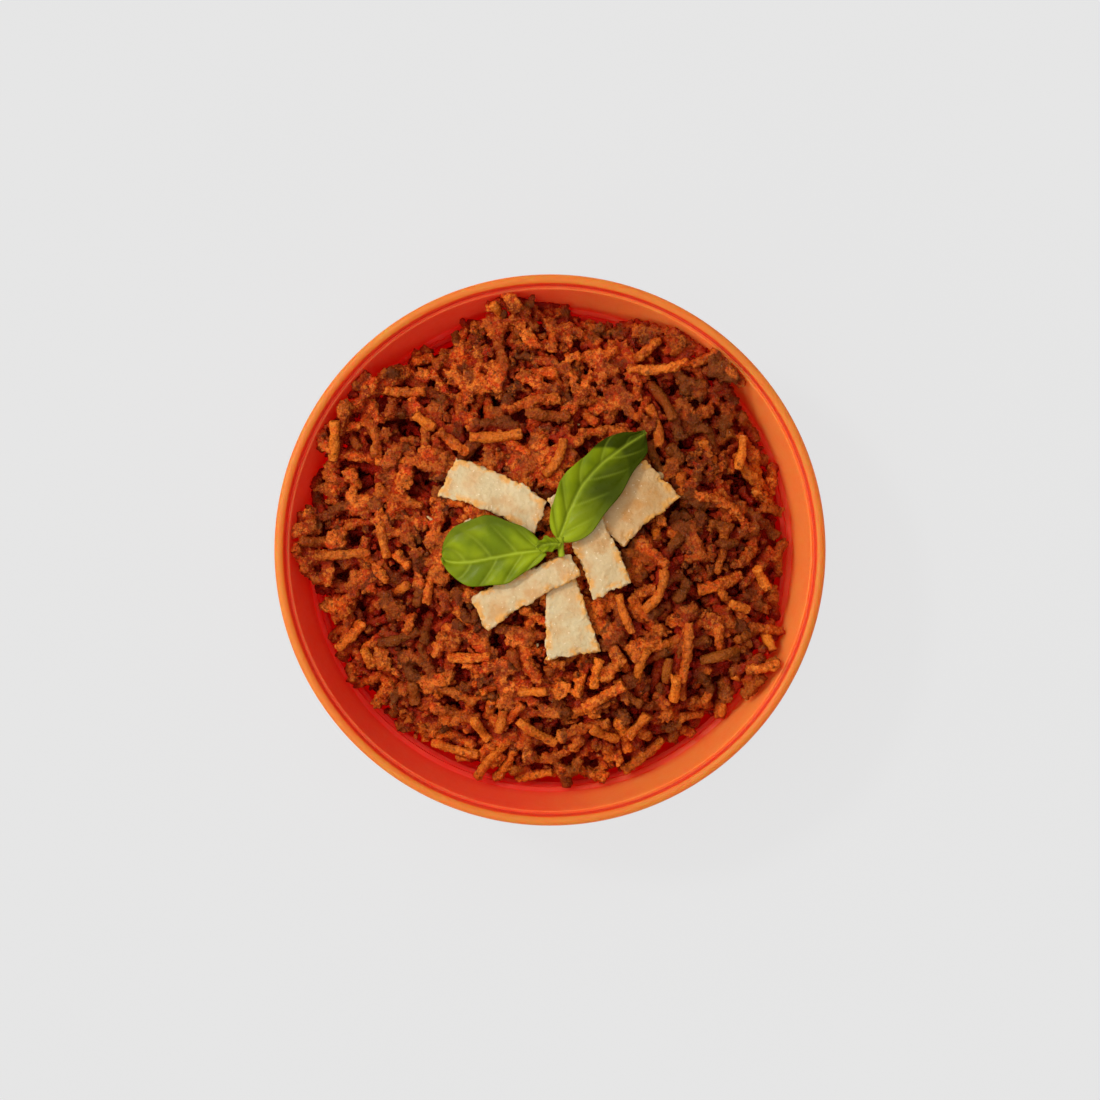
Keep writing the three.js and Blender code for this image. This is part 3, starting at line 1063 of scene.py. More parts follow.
class Pile:
    """The surface that the food is dropped on: one height for each cell of a grid over the bowl."""

    hollow_depth = 7 * MM
    climb_width = 8.0
    climb_foot = 7 * MM
    climb_height = 10 * MM

    def __init__(self, bowl: Bowl, cell: float = 0.5 * MM) -> None:
        """Measures the bowl's inside and the heap that fills it.

        Args:
            bowl: The bowl.
            cell: The side of one cell.
        """
        self.cell = cell
        self.half = bowl.radius
        count = int(2 * self.half / cell)
        self.ticks = (np.arange(count) + 0.5) * cell - self.half
        across, along = np.meshgrid(self.ticks, self.ticks, indexing="ij")
        self.reach = np.hypot(across, along)
        self.bowl = bowl
        self.full = self.measure(node_tree("spaghetti_bolognese"), across, along)
        self.garnish = self.underside(across, along)
        self.outline = self.edge_by_angle(across, along)
        self.banked = self.outline
        angle = np.arctan2(along, across)
        self.edge = np.interp(angle, *self.outline, period=2 * math.pi)
        self.full = self.carry_outwards(across, along)
        self.height = self.ground()

    @staticmethod
    def measure(surface: BVHTree, across: np.ndarray, along: np.ndarray, down: bool = True) -> np.ndarray:
        """Heights of a surface under each cell, and nan beside it.

        Args:
            surface: The surface.
            across: Where the cells are across.
            along: Where they are along.
            down: Whether it is seen from above or from below.

        Returns:
            The height over each cell.
        """
        start, way = (0.2, Vector((0, 0, -1))) if down else (-0.1, Vector((0, 0, 1)))
        heights = np.full(across.size, np.nan)
        for i, (x, y) in enumerate(zip(across.ravel(), along.ravel())):
            hit = surface.ray_cast(Vector((x, y, start)), way)[0]
            if hit is not None:
                heights[i] = hit.z
        return heights.reshape(across.shape)

    def underside(self, across: np.ndarray, along: np.ndarray) -> np.ndarray:
        """Height of the lowest garnish over each cell, or a large number where there is none.

        Args:
            across: Where the cells are across.
            along: Where they are along.

        Returns:
            The height over each cell.
        """
        lowest = np.full(across.shape, 1.0)
        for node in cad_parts:
            if not node.startswith("cheese_shaving"):
                continue
            low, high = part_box(node)
            near = (across > low.x) & (across < high.x) & (along > low.y) & (along < high.y)
            found = self.measure(node_tree(node), across[near], along[near], down=False)
            lowest[near] = np.fmin(lowest[near], found)
        return lowest

    def edge_by_angle(self, across: np.ndarray, along: np.ndarray) -> tuple[np.ndarray, np.ndarray]:
        """The heap's outline: angles round the bowl, and the heap's radius at each.

        Args:
            across: Where the cells are across.
            along: Where they are along.

        Returns:
            The angles and the radii.
        """
        angles = np.radians(np.arange(-180, 180, 3.0))
        filled = ~np.isnan(self.full)
        turn = np.arctan2(along, across)
        edge = []
        for angle in angles:
            off = np.abs((turn - angle + math.pi) % (2 * math.pi) - math.pi)
            edge.append(self.reach[filled & (off < math.radians(2))].max())
        return angles, np.array(edge)

    def carry_outwards(self, across: np.ndarray, along: np.ndarray) -> np.ndarray:
        """The heap's height, with its rim's height carried on to the cells outside its outline.

        Args:
            across: Where the cells are across.
            along: Where they are along.

        Returns:
            The height over each cell.
        """
        inwards = np.minimum(1.0, (self.edge - 1.0 * MM) / np.maximum(self.reach, 1 * MM))
        i = self.index(across * inwards)
        j = self.index(along * inwards)
        return self.full[i, j]

    def hollow_out(self, hollows: tuple[tuple[float, float, float], ...]) -> None:
        """Lowers the heap's surface where it has a dark hollow: across, along and half size in millimetres.

        Args:
            hollows: For each hollow, where it is across and along and its half size, in millimetres.
        """
        across, along = np.meshgrid(self.ticks, self.ticks, indexing="ij")
        for x, y, size in hollows:
            away = np.hypot(across - x * MM, along - y * MM) / (size * MM)
            self.full = self.full - self.hollow_depth * np.exp(-away ** 4)

    def bank_up(self, climbs: tuple[tuple[float, float], ...]) -> None:
        """Lets the food climb the wall: the bearing of each climb in degrees and its reach in millimetres.

        Args:
            climbs: For each climb, its bearing in degrees and its reach in millimetres.
        """
        across, along = np.meshgrid(self.ticks, self.ticks, indexing="ij")
        past = self.reach - self.edge
        for bearing, reach in climbs:
            share = self.near_bearing(np.arctan2(along, across), bearing)
            self.edge = self.edge + share * reach * MM
            self.full = self.full + share * smooth_step(-self.climb_foot, 0.0, past) * self.climb_height
            angles, radii = self.banked
            self.banked = (angles, radii + self.near_bearing(angles, bearing) * reach * MM)

    def near_bearing(self, turn: np.ndarray, bearing: float) -> np.ndarray:
        """How near each angle is to a bearing, from 1 there to 0 a few degrees off."""
        off = (np.degrees(turn) - bearing + 180) % 360 - 180
        return np.exp(-((off / self.climb_width) ** 4))

    def ground(self) -> np.ndarray:
        """The bowl's own inner surface over each cell, up to its crest.

        Returns:
            The height over each cell.
        """
        flare = (self.reach - self.bowl.flare_bottom) / (self.bowl.flare_top - self.bowl.flare_bottom)
        wall = self.bowl.flare_bottom_height + self.bowl.flare_height * flare
        under = self.bowl.flare_bottom_height - self.bowl.step_count * self.bowl.step_riser
        return np.where(self.reach > self.bowl.flare_bottom, np.minimum(wall, self.bowl.height), under)

    def index(self, place: np.ndarray) -> np.ndarray:
        """The cells that hold these places along one axis."""
        cells = ((place + self.half) / self.cell).astype(int)
        return np.clip(cells, 0, len(self.ticks) - 1)

    def look_up(self, grid: np.ndarray, plan: np.ndarray) -> np.ndarray:
        """A grid's values at places in plan."""
        return grid[self.index(plan[:, 0]), self.index(plan[:, 1])]

    def rest(self, plan: np.ndarray, radius: float) -> np.ndarray:
        """The highest thing under a strand, at each point of its line.

        Args:
            plan: The line's points in plan.
            radius: The strand's radius.

        Returns:
            The height at each point.
        """
        way = np.gradient(plan, axis=0)
        way /= np.linalg.norm(way, axis=1, keepdims=True)
        side = np.column_stack([-way[:, 1], way[:, 0]]) * radius * 0.55
        under = [self.look_up(self.height, plan + side * k) for k in (-1, 0, 1)]
        return np.max(under, axis=0)

    def stamp(self, line: np.ndarray, radius: float) -> None:
        """Raises the pile to the top of a rounded thing that lies along a line.

        Args:
            line: Its points.
            radius: Its radius.
        """
        reach = int(radius / self.cell) + 1
        steps = np.arange(-reach, reach + 1)
        count = len(self.ticks)
        for point in line:
            i = int((point[0] + self.half) / self.cell)
            j = int((point[1] + self.half) / self.cell)
            if not (reach < i < count - reach - 1 and reach < j < count - reach - 1):
                continue
            dx = self.ticks[i + steps][:, None] - point[0]
            dy = self.ticks[j + steps][None, :] - point[1]
            left = radius ** 2 - dx ** 2 - dy ** 2
            top = np.where(left > 0, point[2] + np.sqrt(np.maximum(left, 0)), -1.0)
            window = self.height[i - reach:i + reach + 1, j - reach:j + reach + 1]
            np.maximum(window, top, out=window)


@dataclass
class Heap:
    """The spaghetti bolognese: a core painted dark as shade, strands in three coats of sauce, and mince
    between them.
    """

    pile: Pile
    bowl: Bowl
    seed: int = 11
    core_depth: float = 10 * MM
    core_inset: float = 2.0 * MM
    core_shoulder: float = 5 * MM
    core_clearance: float = 1.3 * MM
    core_bulge: float = 18 * MM
    core_foot: float = 14 * MM
    wall_gap: float = 0.15 * MM
    strand_tries: int = 2800
    edge_tries: int = 700
    edge_band: float = 9 * MM
    cluster_every: int = 8
    patches: int = 1100
    gap_clusters: int = 220
    radius: tuple[float, float] = (1.4 * MM, 1.85 * MM)
    length: tuple[float, float] = (7 * MM, 26 * MM)
    step: float = 0.8 * MM
    flex: float = 0.35
    steepest: float = 0.7
    overhang: float = 2.2 * MM
    sink: float = 0.6 * MM
    seating: float = 0.58
    gloom: float = 0.45
    darkness: float = 0.9
    seen_depth: float = 7 * MM
    crest_height: float = 1.6 * MM
    strands: list[Strand] = field(default_factory=list)
    lumps: list[Lump] = field(default_factory=list)

    def __post_init__(self) -> None:
        """Starts the draws of random numbers, so that each run gives the same heap."""
        self.draw = np.random.default_rng(self.seed)

    # -- laying the food --

    def plan_line(self, x: float, y: float, heading: float, length: float, bend: float) -> np.ndarray:
        """A strand's line in plan.

        Args:
            x: Where its middle is across.
            y: Where its middle is along.
            heading: Its heading at the middle, in radians.
            length: Its length.
            bend: How far it turns from end to end, in radians.

        Returns:
            Its points, one to a row.
        """
        count = max(8, int(length / self.step))
        share = np.linspace(-0.5, 0.5, count)
        turn = heading + bend * share + 0.25 * bend * np.sin(5 * share)
        steps = np.column_stack([np.cos(turn), np.sin(turn)]) * length / count
        line = np.cumsum(steps, axis=0)
        return line - line[count // 2] + (x, y)

    def settle(self, plan: np.ndarray, radius: float) -> np.ndarray:
        """The line of a strand that has come to rest on the pile, sagging a little between its supports.

        Args:
            plan: The line's points in plan.
            radius: The strand's radius.

        Returns:
            The line's points in space.
        """
        under = self.pile.rest(plan, radius)
        along = np.concatenate([[0], np.cumsum(np.linalg.norm(np.diff(plan, axis=0), axis=1))])
        along -= along.mean()
        slopes = np.linspace(-self.steepest, self.steepest, 29)
        lifts = (under[None, :] - slopes[:, None] * along[None, :]).max(axis=1)
        best = int(lifts.argmin())
        stiff = lifts[best] + slopes[best] * along
        window = np.ones(5) / 5
        draped = np.convolve(np.pad(under, 2, mode="edge"), window, mode="valid")
        height = stiff + (draped - stiff) * self.flex
        return np.column_stack([plan, height + self.seating * radius])

    def fits(self, line: np.ndarray, radius: float, overhang: float) -> bool:
        """Whether a strand stays in the bowl, under the garnish and inside the heap's outline.

        Args:
            line: Its points.
            radius: Its radius.
            overhang: How far its line may pass the heap's outline.

        Returns:
            Whether it may stay.
        """
        reach = np.hypot(line[:, 0], line[:, 1])
        if (reach + 0.7 * radius > self.bowl.wall_radius(line[:, 2])).any():
            return False
        if (reach - self.pile.look_up(self.pile.edge, line)).max() > overhang:
            return False
        if (line[:, 2] + radius > self.pile.look_up(self.pile.garnish, line)).any():
            return False
        over = line[:, 2] + radius - self.pile.look_up(self.pile.full, line)
        return bool(over.max() < 2.6 * MM and over.mean() < 1.3 * MM)

    def sauciness(self, x: float, y: float) -> float:
        """How thick the sauce lies over a place, from 0 to 1: most at the back left.

        Args:
            x: The place across.
            y: The place along.

        Returns:
            A number from 0 to 1.
        """
        slope = 0.5 + (y - x) / (3.2 * self.pile.half)
        patch = noise.noise(Vector((x, y, 0.0)) / (19 * MM))
        return float(np.clip(slope + 0.55 * patch, 0, 1))

    def add_strand(self, line: np.ndarray, radius: float, sauce: float) -> None:
        """Lays a strand and chooses its coat.

        Args:
            line: Its points.
            radius: Its radius.
            sauce: How saucy its place is, from 0 to 1.
        """
        chance = self.draw.random()
        coat = Coat.THICK if chance < 0.35 + 0.45 * sauce else Coat.THIN
        if chance > 0.93:
            coat = Coat.CLEAN
        self.strands.append(Strand(line, radius, coat, self.tone(line[0]), sauce))
        self.pile.stamp(line, radius)

    def tone(self, place: np.ndarray) -> float:
        """How light a thing at a place is, by chance: things on the far side from the key are darker.

        Args:
            place: The place.

        Returns:
            A number from 0 to 1.
        """
        light = self.draw.random() * (1 - self.gloom * float(smooth_step(0.0, 50 * MM, place[0])))
        for x, y, size in DARK_PLACES:
            away = math.hypot(place[0] / MM - x, place[1] / MM - y) / size
            light *= 1 - self.darkness * math.exp(-away ** 2)
        return light

    def anywhere(self, margin: float, inner: float = 0.0) -> np.ndarray:
        """A chance place on the heap, at least a margin inside its outline and past an inner share.

        Args:
            margin: How far in from the edge it keeps.
            inner: How far out it starts, as a share of that.

        Returns:
            The place in plan.
        """
        angle = self.draw.uniform(-math.pi, math.pi)
        edge = np.interp(angle, *self.pile.banked, period=2 * math.pi)
        reach = (edge - margin) * math.sqrt(self.draw.uniform(inner ** 2, 1))
        return np.array([reach * math.cos(angle), reach * math.sin(angle)])

    def drop_strand(self, inner: float = 0.0) -> bool:
        """Drops one strand into the emptiest of a few places, and says whether it found room.

        Args:
            inner: How near the heap's outline it must lie, as a share of the way out.

        Returns:
            Whether it found room.
        """
        best = None
        for _ in range(4):
            x, y = self.anywhere(0.0, inner)
            length = float(np.clip(self.draw.gamma(4.5, 3.4 * MM), *self.length))
            bend = self.draw.normal(0, 0.35) * length / (15 * MM)
            plan = self.plan_line(x, y, self.draw.uniform(0, math.pi), length, bend)
            radius = self.draw.uniform(*self.radius)
            line = self.settle(plan, radius)
            if not self.fits(line, radius, self.overhang):
                continue
            room = float((self.pile.look_up(self.pile.full, line) - line[:, 2] - radius).mean())
            if best is None or room > best[0]:
                best = (room, line, radius)
        if best is None:
            return False
        _, line, radius = best
        middle = line[len(line) // 2]
        self.add_strand(line, radius, self.sauciness(middle[0], middle[1]))
        return True

    def drop_cluster(self, middle: np.ndarray, spread: float, count: int, proud: float) -> None:
        """Drops a cluster of mince grains.

        Args:
            middle: Its middle in plan.
            spread: How far its grains scatter.
            count: How many there are.
            proud: How far they may stand over the full heap.
        """
        tone = self.draw.random()
        for _ in range(count):
            plan = middle + self.draw.normal(0, spread, 2)
            size = self.draw.uniform(0.7, 1.9, 3) * MM
            radius = float(size[:2].mean())
            spots = plan + self.draw.normal(0, radius * 0.5, (5, 2))
            z = self.pile.look_up(self.pile.height, spots).mean() + 0.35 * size[2]
            place = np.array([[*plan, z]])
            if not self.fits(place, float(size[2]), 0.5 * MM):
                continue
            if z + size[2] > self.pile.look_up(self.pile.full, place)[0] + proud:
                continue
            axis = self.draw.normal(0, 1, 3).tolist()
            turn = np.array(Matrix.Rotation(self.draw.uniform(0, 6.3), 3, axis))
            self.lumps.append(Lump(place[0], size, turn, Coat.MINCE, tone, self.draw.random()))
            self.pile.stamp(place, radius)

    def drop_patch(self) -> None:
        """Drops a flat patch of thick sauce that bridges the strands under it."""
        plan = self.anywhere(2 * MM)
        sauce = self.sauciness(plan[0], plan[1])
        if self.draw.random() > 0.12 + sauce:
            return
        size = np.array([
            self.draw.uniform(1.8, 5.0),
            self.draw.uniform(1.4, 3.2),
            self.draw.uniform(0.8, 1.6),
        ])
        size *= MM
        spots = plan + self.draw.normal(0, 1, (14, 2)) * size[:2] * 0.7
        z = np.percentile(self.pile.look_up(self.pile.height, spots), 60) - 0.1 * MM
        place = np.array([[*plan, z]])
        if not self.fits(place, float(size[2]), -1 * MM):
            return
        turn = np.array(Matrix.Rotation(self.draw.uniform(0, 6.3), 3, "Z"))
        self.lumps.append(Lump(place[0], size, turn, Coat.THICK, self.tone(plan), sauce))

    def place_strand(self, placed: Placed) -> None:
        """Lays one of the strands that have a place of their own, a little sunk into the heap.

        Args:
            placed: The strand, as it is described.
        """
        plan = self.plan_line(
            placed.x * MM, placed.y * MM, math.radians(placed.heading), placed.length * MM,
            math.radians(placed.bend),
        )
        radius = self.draw.uniform(1.35, 1.6) * MM
        line = self.settle(plan, radius)
        line[:, 2] -= self.sink
        self.strands.append(Strand(line, radius, placed.coat, self.draw.uniform(0.3, 0.8), 0.5))
        self.pile.stamp(line, radius)

    def lay(self) -> None:
        """Fills the heap: strands and mince by turns, then sauce, dark clots and the topmost strands."""
        self.pile.hollow_out(HOLLOWS)
        self.core = self.core_heights()
        self.pile.height = np.maximum(self.pile.height, self.core)
        self.pile.bank_up(CLIMBS)
        for turn in range(self.strand_tries):
            self.drop_strand()
            if turn % self.cluster_every == 0:
                spread = self.draw.uniform(1.5, 4.0) * MM
                self.drop_cluster(self.anywhere(3 * MM), spread, int(self.draw.integers(5, 14)), 0.0)
        for _ in range(self.edge_tries):
            self.drop_strand(1 - self.edge_band / self.pile.half)
        for _ in range(self.gap_clusters):
            places = np.array([self.anywhere(2 * MM) for _ in range(8)])
            gaps = self.pile.look_up(self.pile.full - self.pile.height, places)
            self.drop_cluster(places[gaps.argmax()], 1.3 * MM, 7, -1.0 * MM)
        for _ in range(self.patches):
            self.drop_patch()
        for x, y, spread in MINCE_CLOTS:
            self.drop_cluster(np.array([x, y]) * MM, spread * 0.5 * MM, int(spread * 9), 1.6 * MM)
        for placed in TOP_STRANDS:
            self.place_strand(placed)
        LOG.info("laid %d strands and %d lumps", len(self.strands), len(self.lumps))

    def core_heights(self) -> np.ndarray:
        """The core's height over each cell: the full heap's, lowered and drawn in.

        Returns:
            The height over each cell.
        """
        inside = smooth_step(0.0, self.core_shoulder, self.pile.edge - self.core_inset - self.pile.reach)
        low = self.pile.full.min() - 6 * MM
        return low + (self.pile.full - self.core_depth - low) * inside

    # -- meshes --

    def top_surface(self) -> np.ndarray:
        """The pile's height as an eye from above would smooth it, for telling how deep a point lies, which
        sets its painted shade.

        Returns:
            The height over each cell.
        """
        top = self.pile.height.copy()
        for axis in (0, 1):
            shifted = [np.roll(top, k, axis) for k in range(-6, 7, 2)]
            top = np.mean(shifted, axis=0) * 0.5 + np.max(shifted, axis=0) * 0.5
        return top

    def mean_surface(self) -> np.ndarray:
        """The pile's height evened out over a strand or two, for telling crests from creases, which get
        painted light and shade.

        Returns:
            The height over each cell.
        """
        even = np.maximum(self.pile.height, self.pile.full - 4 * MM)
        for axis in (0, 1):
            even = np.mean([np.roll(even, k, axis) for k in range(-4, 5)], axis=0)
        return even

    def seen(self, line: np.ndarray, radius: float) -> bool:
        """Whether a thing that lies along a line shows from above or through a gap near it.

        Args:
            line: Its points.
            radius: Its radius.

        Returns:
            Whether it shows.
        """
        plan = line[:, :2]
        cover = self.pile.look_up(self.pile.height, plan)
        for step in ((2, 0), (-2, 0), (0, 2), (0, -2)):
            near = plan + np.array(step) * MM
            cover = np.minimum(cover, self.pile.look_up(self.pile.height, near))
        return bool((cover < line[:, 2] + radius + 0.4 * MM).mean() > 0.12)

    @staticmethod
    def strand_template(sides: int, rings: int) -> tuple[np.ndarray, list[tuple[int, ...]]]:
        """A straight strand of length and radius 1, with rounded blunt ends.

        Args:
            sides: Faces round it.
            rings: Faces along it.

        Returns:
            Its points and its faces.
        """
        shape = bmesh.new()
        bmesh.ops.create_cone(
            shape, cap_ends=True, cap_tris=False, segments=sides, radius1=1, radius2=1, depth=1,
        )
        long_edges = [e for e in shape.edges if abs(e.verts[0].co.z - e.verts[1].co.z) > 0.5]
        bmesh.ops.subdivide_edges(shape, edges=long_edges, cuts=rings - 1, use_grid_fill=True)
        caps = [face for face in shape.faces if abs(face.normal.z) > 0.9]
        bmesh.ops.inset_region(shape, faces=caps, thickness=0.35, depth=0.0)
        shape.verts.ensure_lookup_table()
        points = np.array([(v.co.z, v.co.x, v.co.y) for v in shape.verts])
        faces = [tuple(v.index for v in face.verts) for face in shape.faces]
        shape.free()
        return points, faces

    def strand_mesh(self, name: str, strands: list[Strand], sides: int, rings: int) -> bpy.types.Mesh:
        """One mesh of many strands, each bent along its own line and uneven in thickness.

        Args:
            name: The mesh's name.
            strands: The strands.
            sides: How many sides a strand has.
            rings: How many rings of vertices it has.

        Returns:
            The mesh.
        """
        template, faces = self.strand_template(sides, rings)
        all_points, all_faces = [], []
        for strand in strands:
            line = strand.line
            way = np.gradient(line, axis=0)
            way /= np.linalg.norm(way, axis=1, keepdims=True)
            side = np.cross(way, (0.0, 0.0, 1.0))
            side /= np.linalg.norm(side, axis=1, keepdims=True)
            up = np.cross(side, way)
            share = np.clip(template[:, 0] + 0.5, 0, 1) * (len(line) - 1)
            ticks = np.arange(len(line))
            centre = np.column_stack([np.interp(share, ticks, line[:, k]) for k in range(3)])
            across = np.column_stack([np.interp(share, ticks, side[:, k]) for k in range(3)])
            above = np.column_stack([np.interp(share, ticks, up[:, k]) for k in range(3)])
            swell = 1 + 0.10 * np.sin(self.draw.uniform(0, 6.3) + 9 * template[:, 0])
            swell += self.draw.normal(0, 0.05, len(template))
            thick = (strand.radius * swell)[:, None]
            points = centre + (across * template[:, 1:2] + above * template[:, 2:3]) * thick
            all_faces += [tuple(i + len(all_points) * len(template) for i in face) for face in faces]
            all_points.append(points)
        mesh = bpy.data.meshes.new(name)
        mesh.from_pydata(np.concatenate(all_points).tolist(), [], all_faces)
        mesh.update()
        return mesh

    def lump_mesh(self, name: str, lumps: list[Lump]) -> bpy.types.Mesh:
        """One mesh of many uneven lumps.

        Args:
            name: The mesh's name.
            lumps: The lumps.

        Returns:
            The mesh.
        """
        shape = bmesh.new()
        bmesh.ops.create_icosphere(shape, subdivisions=1, radius=1)
        shape.verts.ensure_lookup_table()
        template = np.array([tuple(v.co) for v in shape.verts])
        faces = [tuple(v.index for v in face.verts) for face in shape.faces]
        shape.free()
        all_points, all_faces = [], []
        for lump in lumps:
            swell = 1 + self.draw.normal(0, 0.14, (len(template), 1))
            points = (template * swell * lump.size) @ lump.turn.T + lump.middle
            all_faces += [tuple(i + len(all_points) * len(template) for i in face) for face in faces]
            all_points.append(points)
        mesh = bpy.data.meshes.new(name)
        mesh.from_pydata(np.concatenate(all_points).tolist(), [], all_faces)
        mesh.update()
        return mesh

    @staticmethod
    def fuse(piece: bpy.types.Object, making: Making) -> None:
        """Melts touching things into one crumbly surface, as sauce does.

        Args:
            piece: The piece, of many closed shells.
            making: How it is made.
        """
        remesh = piece.modifiers.new("fuse", "REMESH")
        remesh.mode = "VOXEL"
        remesh.voxel_size = making.voxel
        if making.melt:
            smooth = piece.modifiers.new("melt", "SMOOTH")
            smooth.factor = 0.5
            smooth.iterations = making.melt
        add_displacement(piece, 2.0 * MM, making.lumpy, 1)
        apply_modifiers(piece)
        crumble(piece, making.grain, making.grainy)
        count = triangle_count(piece)
        if count > making.most:
            thin = piece.modifiers.new("thin", "DECIMATE")
            thin.ratio = making.most / count
            apply_modifiers(piece)

    def keep_inside(self, piece: bpy.types.Object) -> None:
        """Pulls what would pass into the bowl's wall back to just short of its inner face.

        Args:
            piece: The piece.
        """
        points = mesh_points(piece.data)
        reach = np.hypot(points[:, 0], points[:, 1])
        room = self.bowl.wall_radius(points[:, 2]) - self.wall_gap
        points[:, :2] *= np.minimum(1.0, room / np.maximum(reach, room))[:, None]
        move_points(piece.data, points)

    def describe(
        self, piece: bpy.types.Object, spots: np.ndarray, tones: np.ndarray, sauces: np.ndarray
    ) -> None:
        """Stores on each vertex how light, how sauced, how deep and how raised it is, the last two for its
        painted shade and light.

        Args:
            piece: The piece.
            spots: Places whose tone and sauce are known.
            tones: The tone at each.
            sauces: The sauce at each.
        """
        tree = KDTree(len(spots))
        for i, spot in enumerate(spots):
            tree.insert(spot, i)
        tree.balance()
        points = mesh_points(piece.data)
        nearest = np.array([tree.find(point)[1] for point in points])
        depth = (self.pile.look_up(self.top, points) - points[:, 2]) / self.seen_depth
        store(piece.data, "tone", tones[nearest])
        store(piece.data, "sauce", sauces[nearest])
        store(piece.data, "depth", np.clip(depth, 0, 1))
        rise = (points[:, 2] - self.pile.look_up(self.mean, points)) / self.crest_height
        store(piece.data, "crest", np.clip(0.5 + 0.5 * rise, 0, 1))

    def dress(self, piece: bpy.types.Object, finish: SauceFinish) -> bpy.types.Object:
        """Gives a piece of the heap its material, and hides the CAD heap that it stands in for.

        Args:
            piece: The piece.
            finish: Its finish.

        Returns:
            The same piece.
        """
        piece.data.materials.clear()
        piece.data.materials.append(finish.material())
        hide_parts("spaghetti_bolognese")
        return piece

    def build_core(self) -> bpy.types.Object:
        """The middle of the heap, painted dark as shade, with the relief of packed mince.

        Returns:
            The finished piece.
        """
        shape = bmesh.new()
        bmesh.ops.create_uvsphere(shape, u_segments=160, v_segments=90, radius=1)
        core = self.core
        bottom = self.bowl.floor_top + 0.3 * MM
        for vertex in shape.verts:
            turn = math.atan2(vertex.co.y, vertex.co.x)
            rise = math.asin(max(-1.0, min(1.0, vertex.co.z))) / (math.pi / 2)
            edge = float(np.interp(turn, *self.pile.outline, period=2 * math.pi)) - self.core_inset
            if rise >= 0:
                reach = edge * (1 - rise)
                spot = np.array([[reach * math.cos(turn), reach * math.sin(turn)]])
                vertex.co = (*spot[0], self.pile.look_up(core, spot)[0])
            else:
                share = 1 + rise
                reach = (self.bowl.floor_radius + self.core_foot) * share ** 0.6
                fall = (1 - (1 - share) ** 0.35) if share > 0.35 else 0.0
                height = bottom + self.core_bulge * fall * share
                vertex.co = (reach * math.cos(turn), reach * math.sin(turn), height)
            room = self.bowl.body_radius(vertex.co.z) - self.core_clearance
            vertex.co.xy *= min(1.0, room / max(vertex.co.xy.length, room))
        bmesh.ops.recalc_face_normals(shape, faces=shape.faces)
        piece = piece_from_bmesh("packed_core", shape)
        add_displacement(piece, 2.2 * MM, 1.2 * MM, 2)
        apply_modifiers(piece)
        count = len(piece.data.vertices)
        # Painted shade: the core is stored as deep and creased, so it takes the deep shade colour all over.
        for name, value in (("tone", 0.3), ("sauce", 0.8), ("depth", 0.75), ("crest", 0.4)):
            store(piece.data, name, np.full(count, value))
        return self.dress(piece, SauceFinish("packed_core", (128, 38, 8), (108, 24, 5), (60, 16, 4), 0.6))

    def build_kind(self, coat: Coat) -> bpy.types.Object:
        """Makes what shows of one kind of food, as one piece.

        Args:
            coat: How much sauce its strands carry.

        Returns:
            The finished piece.
        """
        making = MAKINGS[coat]
        strands = [s for s in self.strands if s.coat is coat and self.seen(s.line, s.radius)]
        lumps = [
            lump for lump in self.lumps
            if lump.coat is coat and self.seen(lump.middle[None, :], float(lump.size[2]))
        ]
        mesh = bpy.data.meshes.new(coat.value)
        shape = bmesh.new()
        if strands:
            shape.from_mesh(self.strand_mesh("strands", strands, sides=8, rings=9))
        if lumps:
            shape.from_mesh(self.lump_mesh("lumps", lumps))
        shape.to_mesh(mesh)
        shape.free()
        piece = new_piece(coat.value, mesh)
        self.fuse(piece, making)
        self.keep_inside(piece)
        spots = np.concatenate([s.line for s in strands] + [lump.middle[None, :] for lump in lumps])
        sizes = [len(s.line) for s in strands] + [1] * len(lumps)
        tones = np.repeat([item.tone for item in strands + lumps], sizes)
        sauces = np.repeat([item.sauce for item in strands + lumps], sizes)
        self.describe(piece, spots, tones, sauces)
        return self.dress(piece, making.finish)

    def build(self) -> list[bpy.types.Object]:
        """Lays the heap and makes its pieces.

        Returns:
            What it makes, finished.
        """
        self.lay()
        self.top = self.top_surface()
        self.mean = self.mean_surface()
        return [self.build_core()] + [self.build_kind(coat) for coat in Coat]


# ---- Cheese ----


# How tan each shaving is, from 0 to 1: the right one, which lies under a leaf, is painted tan and dark as
# shade.
TAN_AND_SHADE_BY_SHAVING = {
    "cheese_shaving_right": 1.0,
    "cheese_shaving_middle": 0.4,
    "cheese_shaving_diagonal": 0.4,
    "cheese_shaving_left": 0.2,
    "cheese_shaving_bottom": 0.15,
}


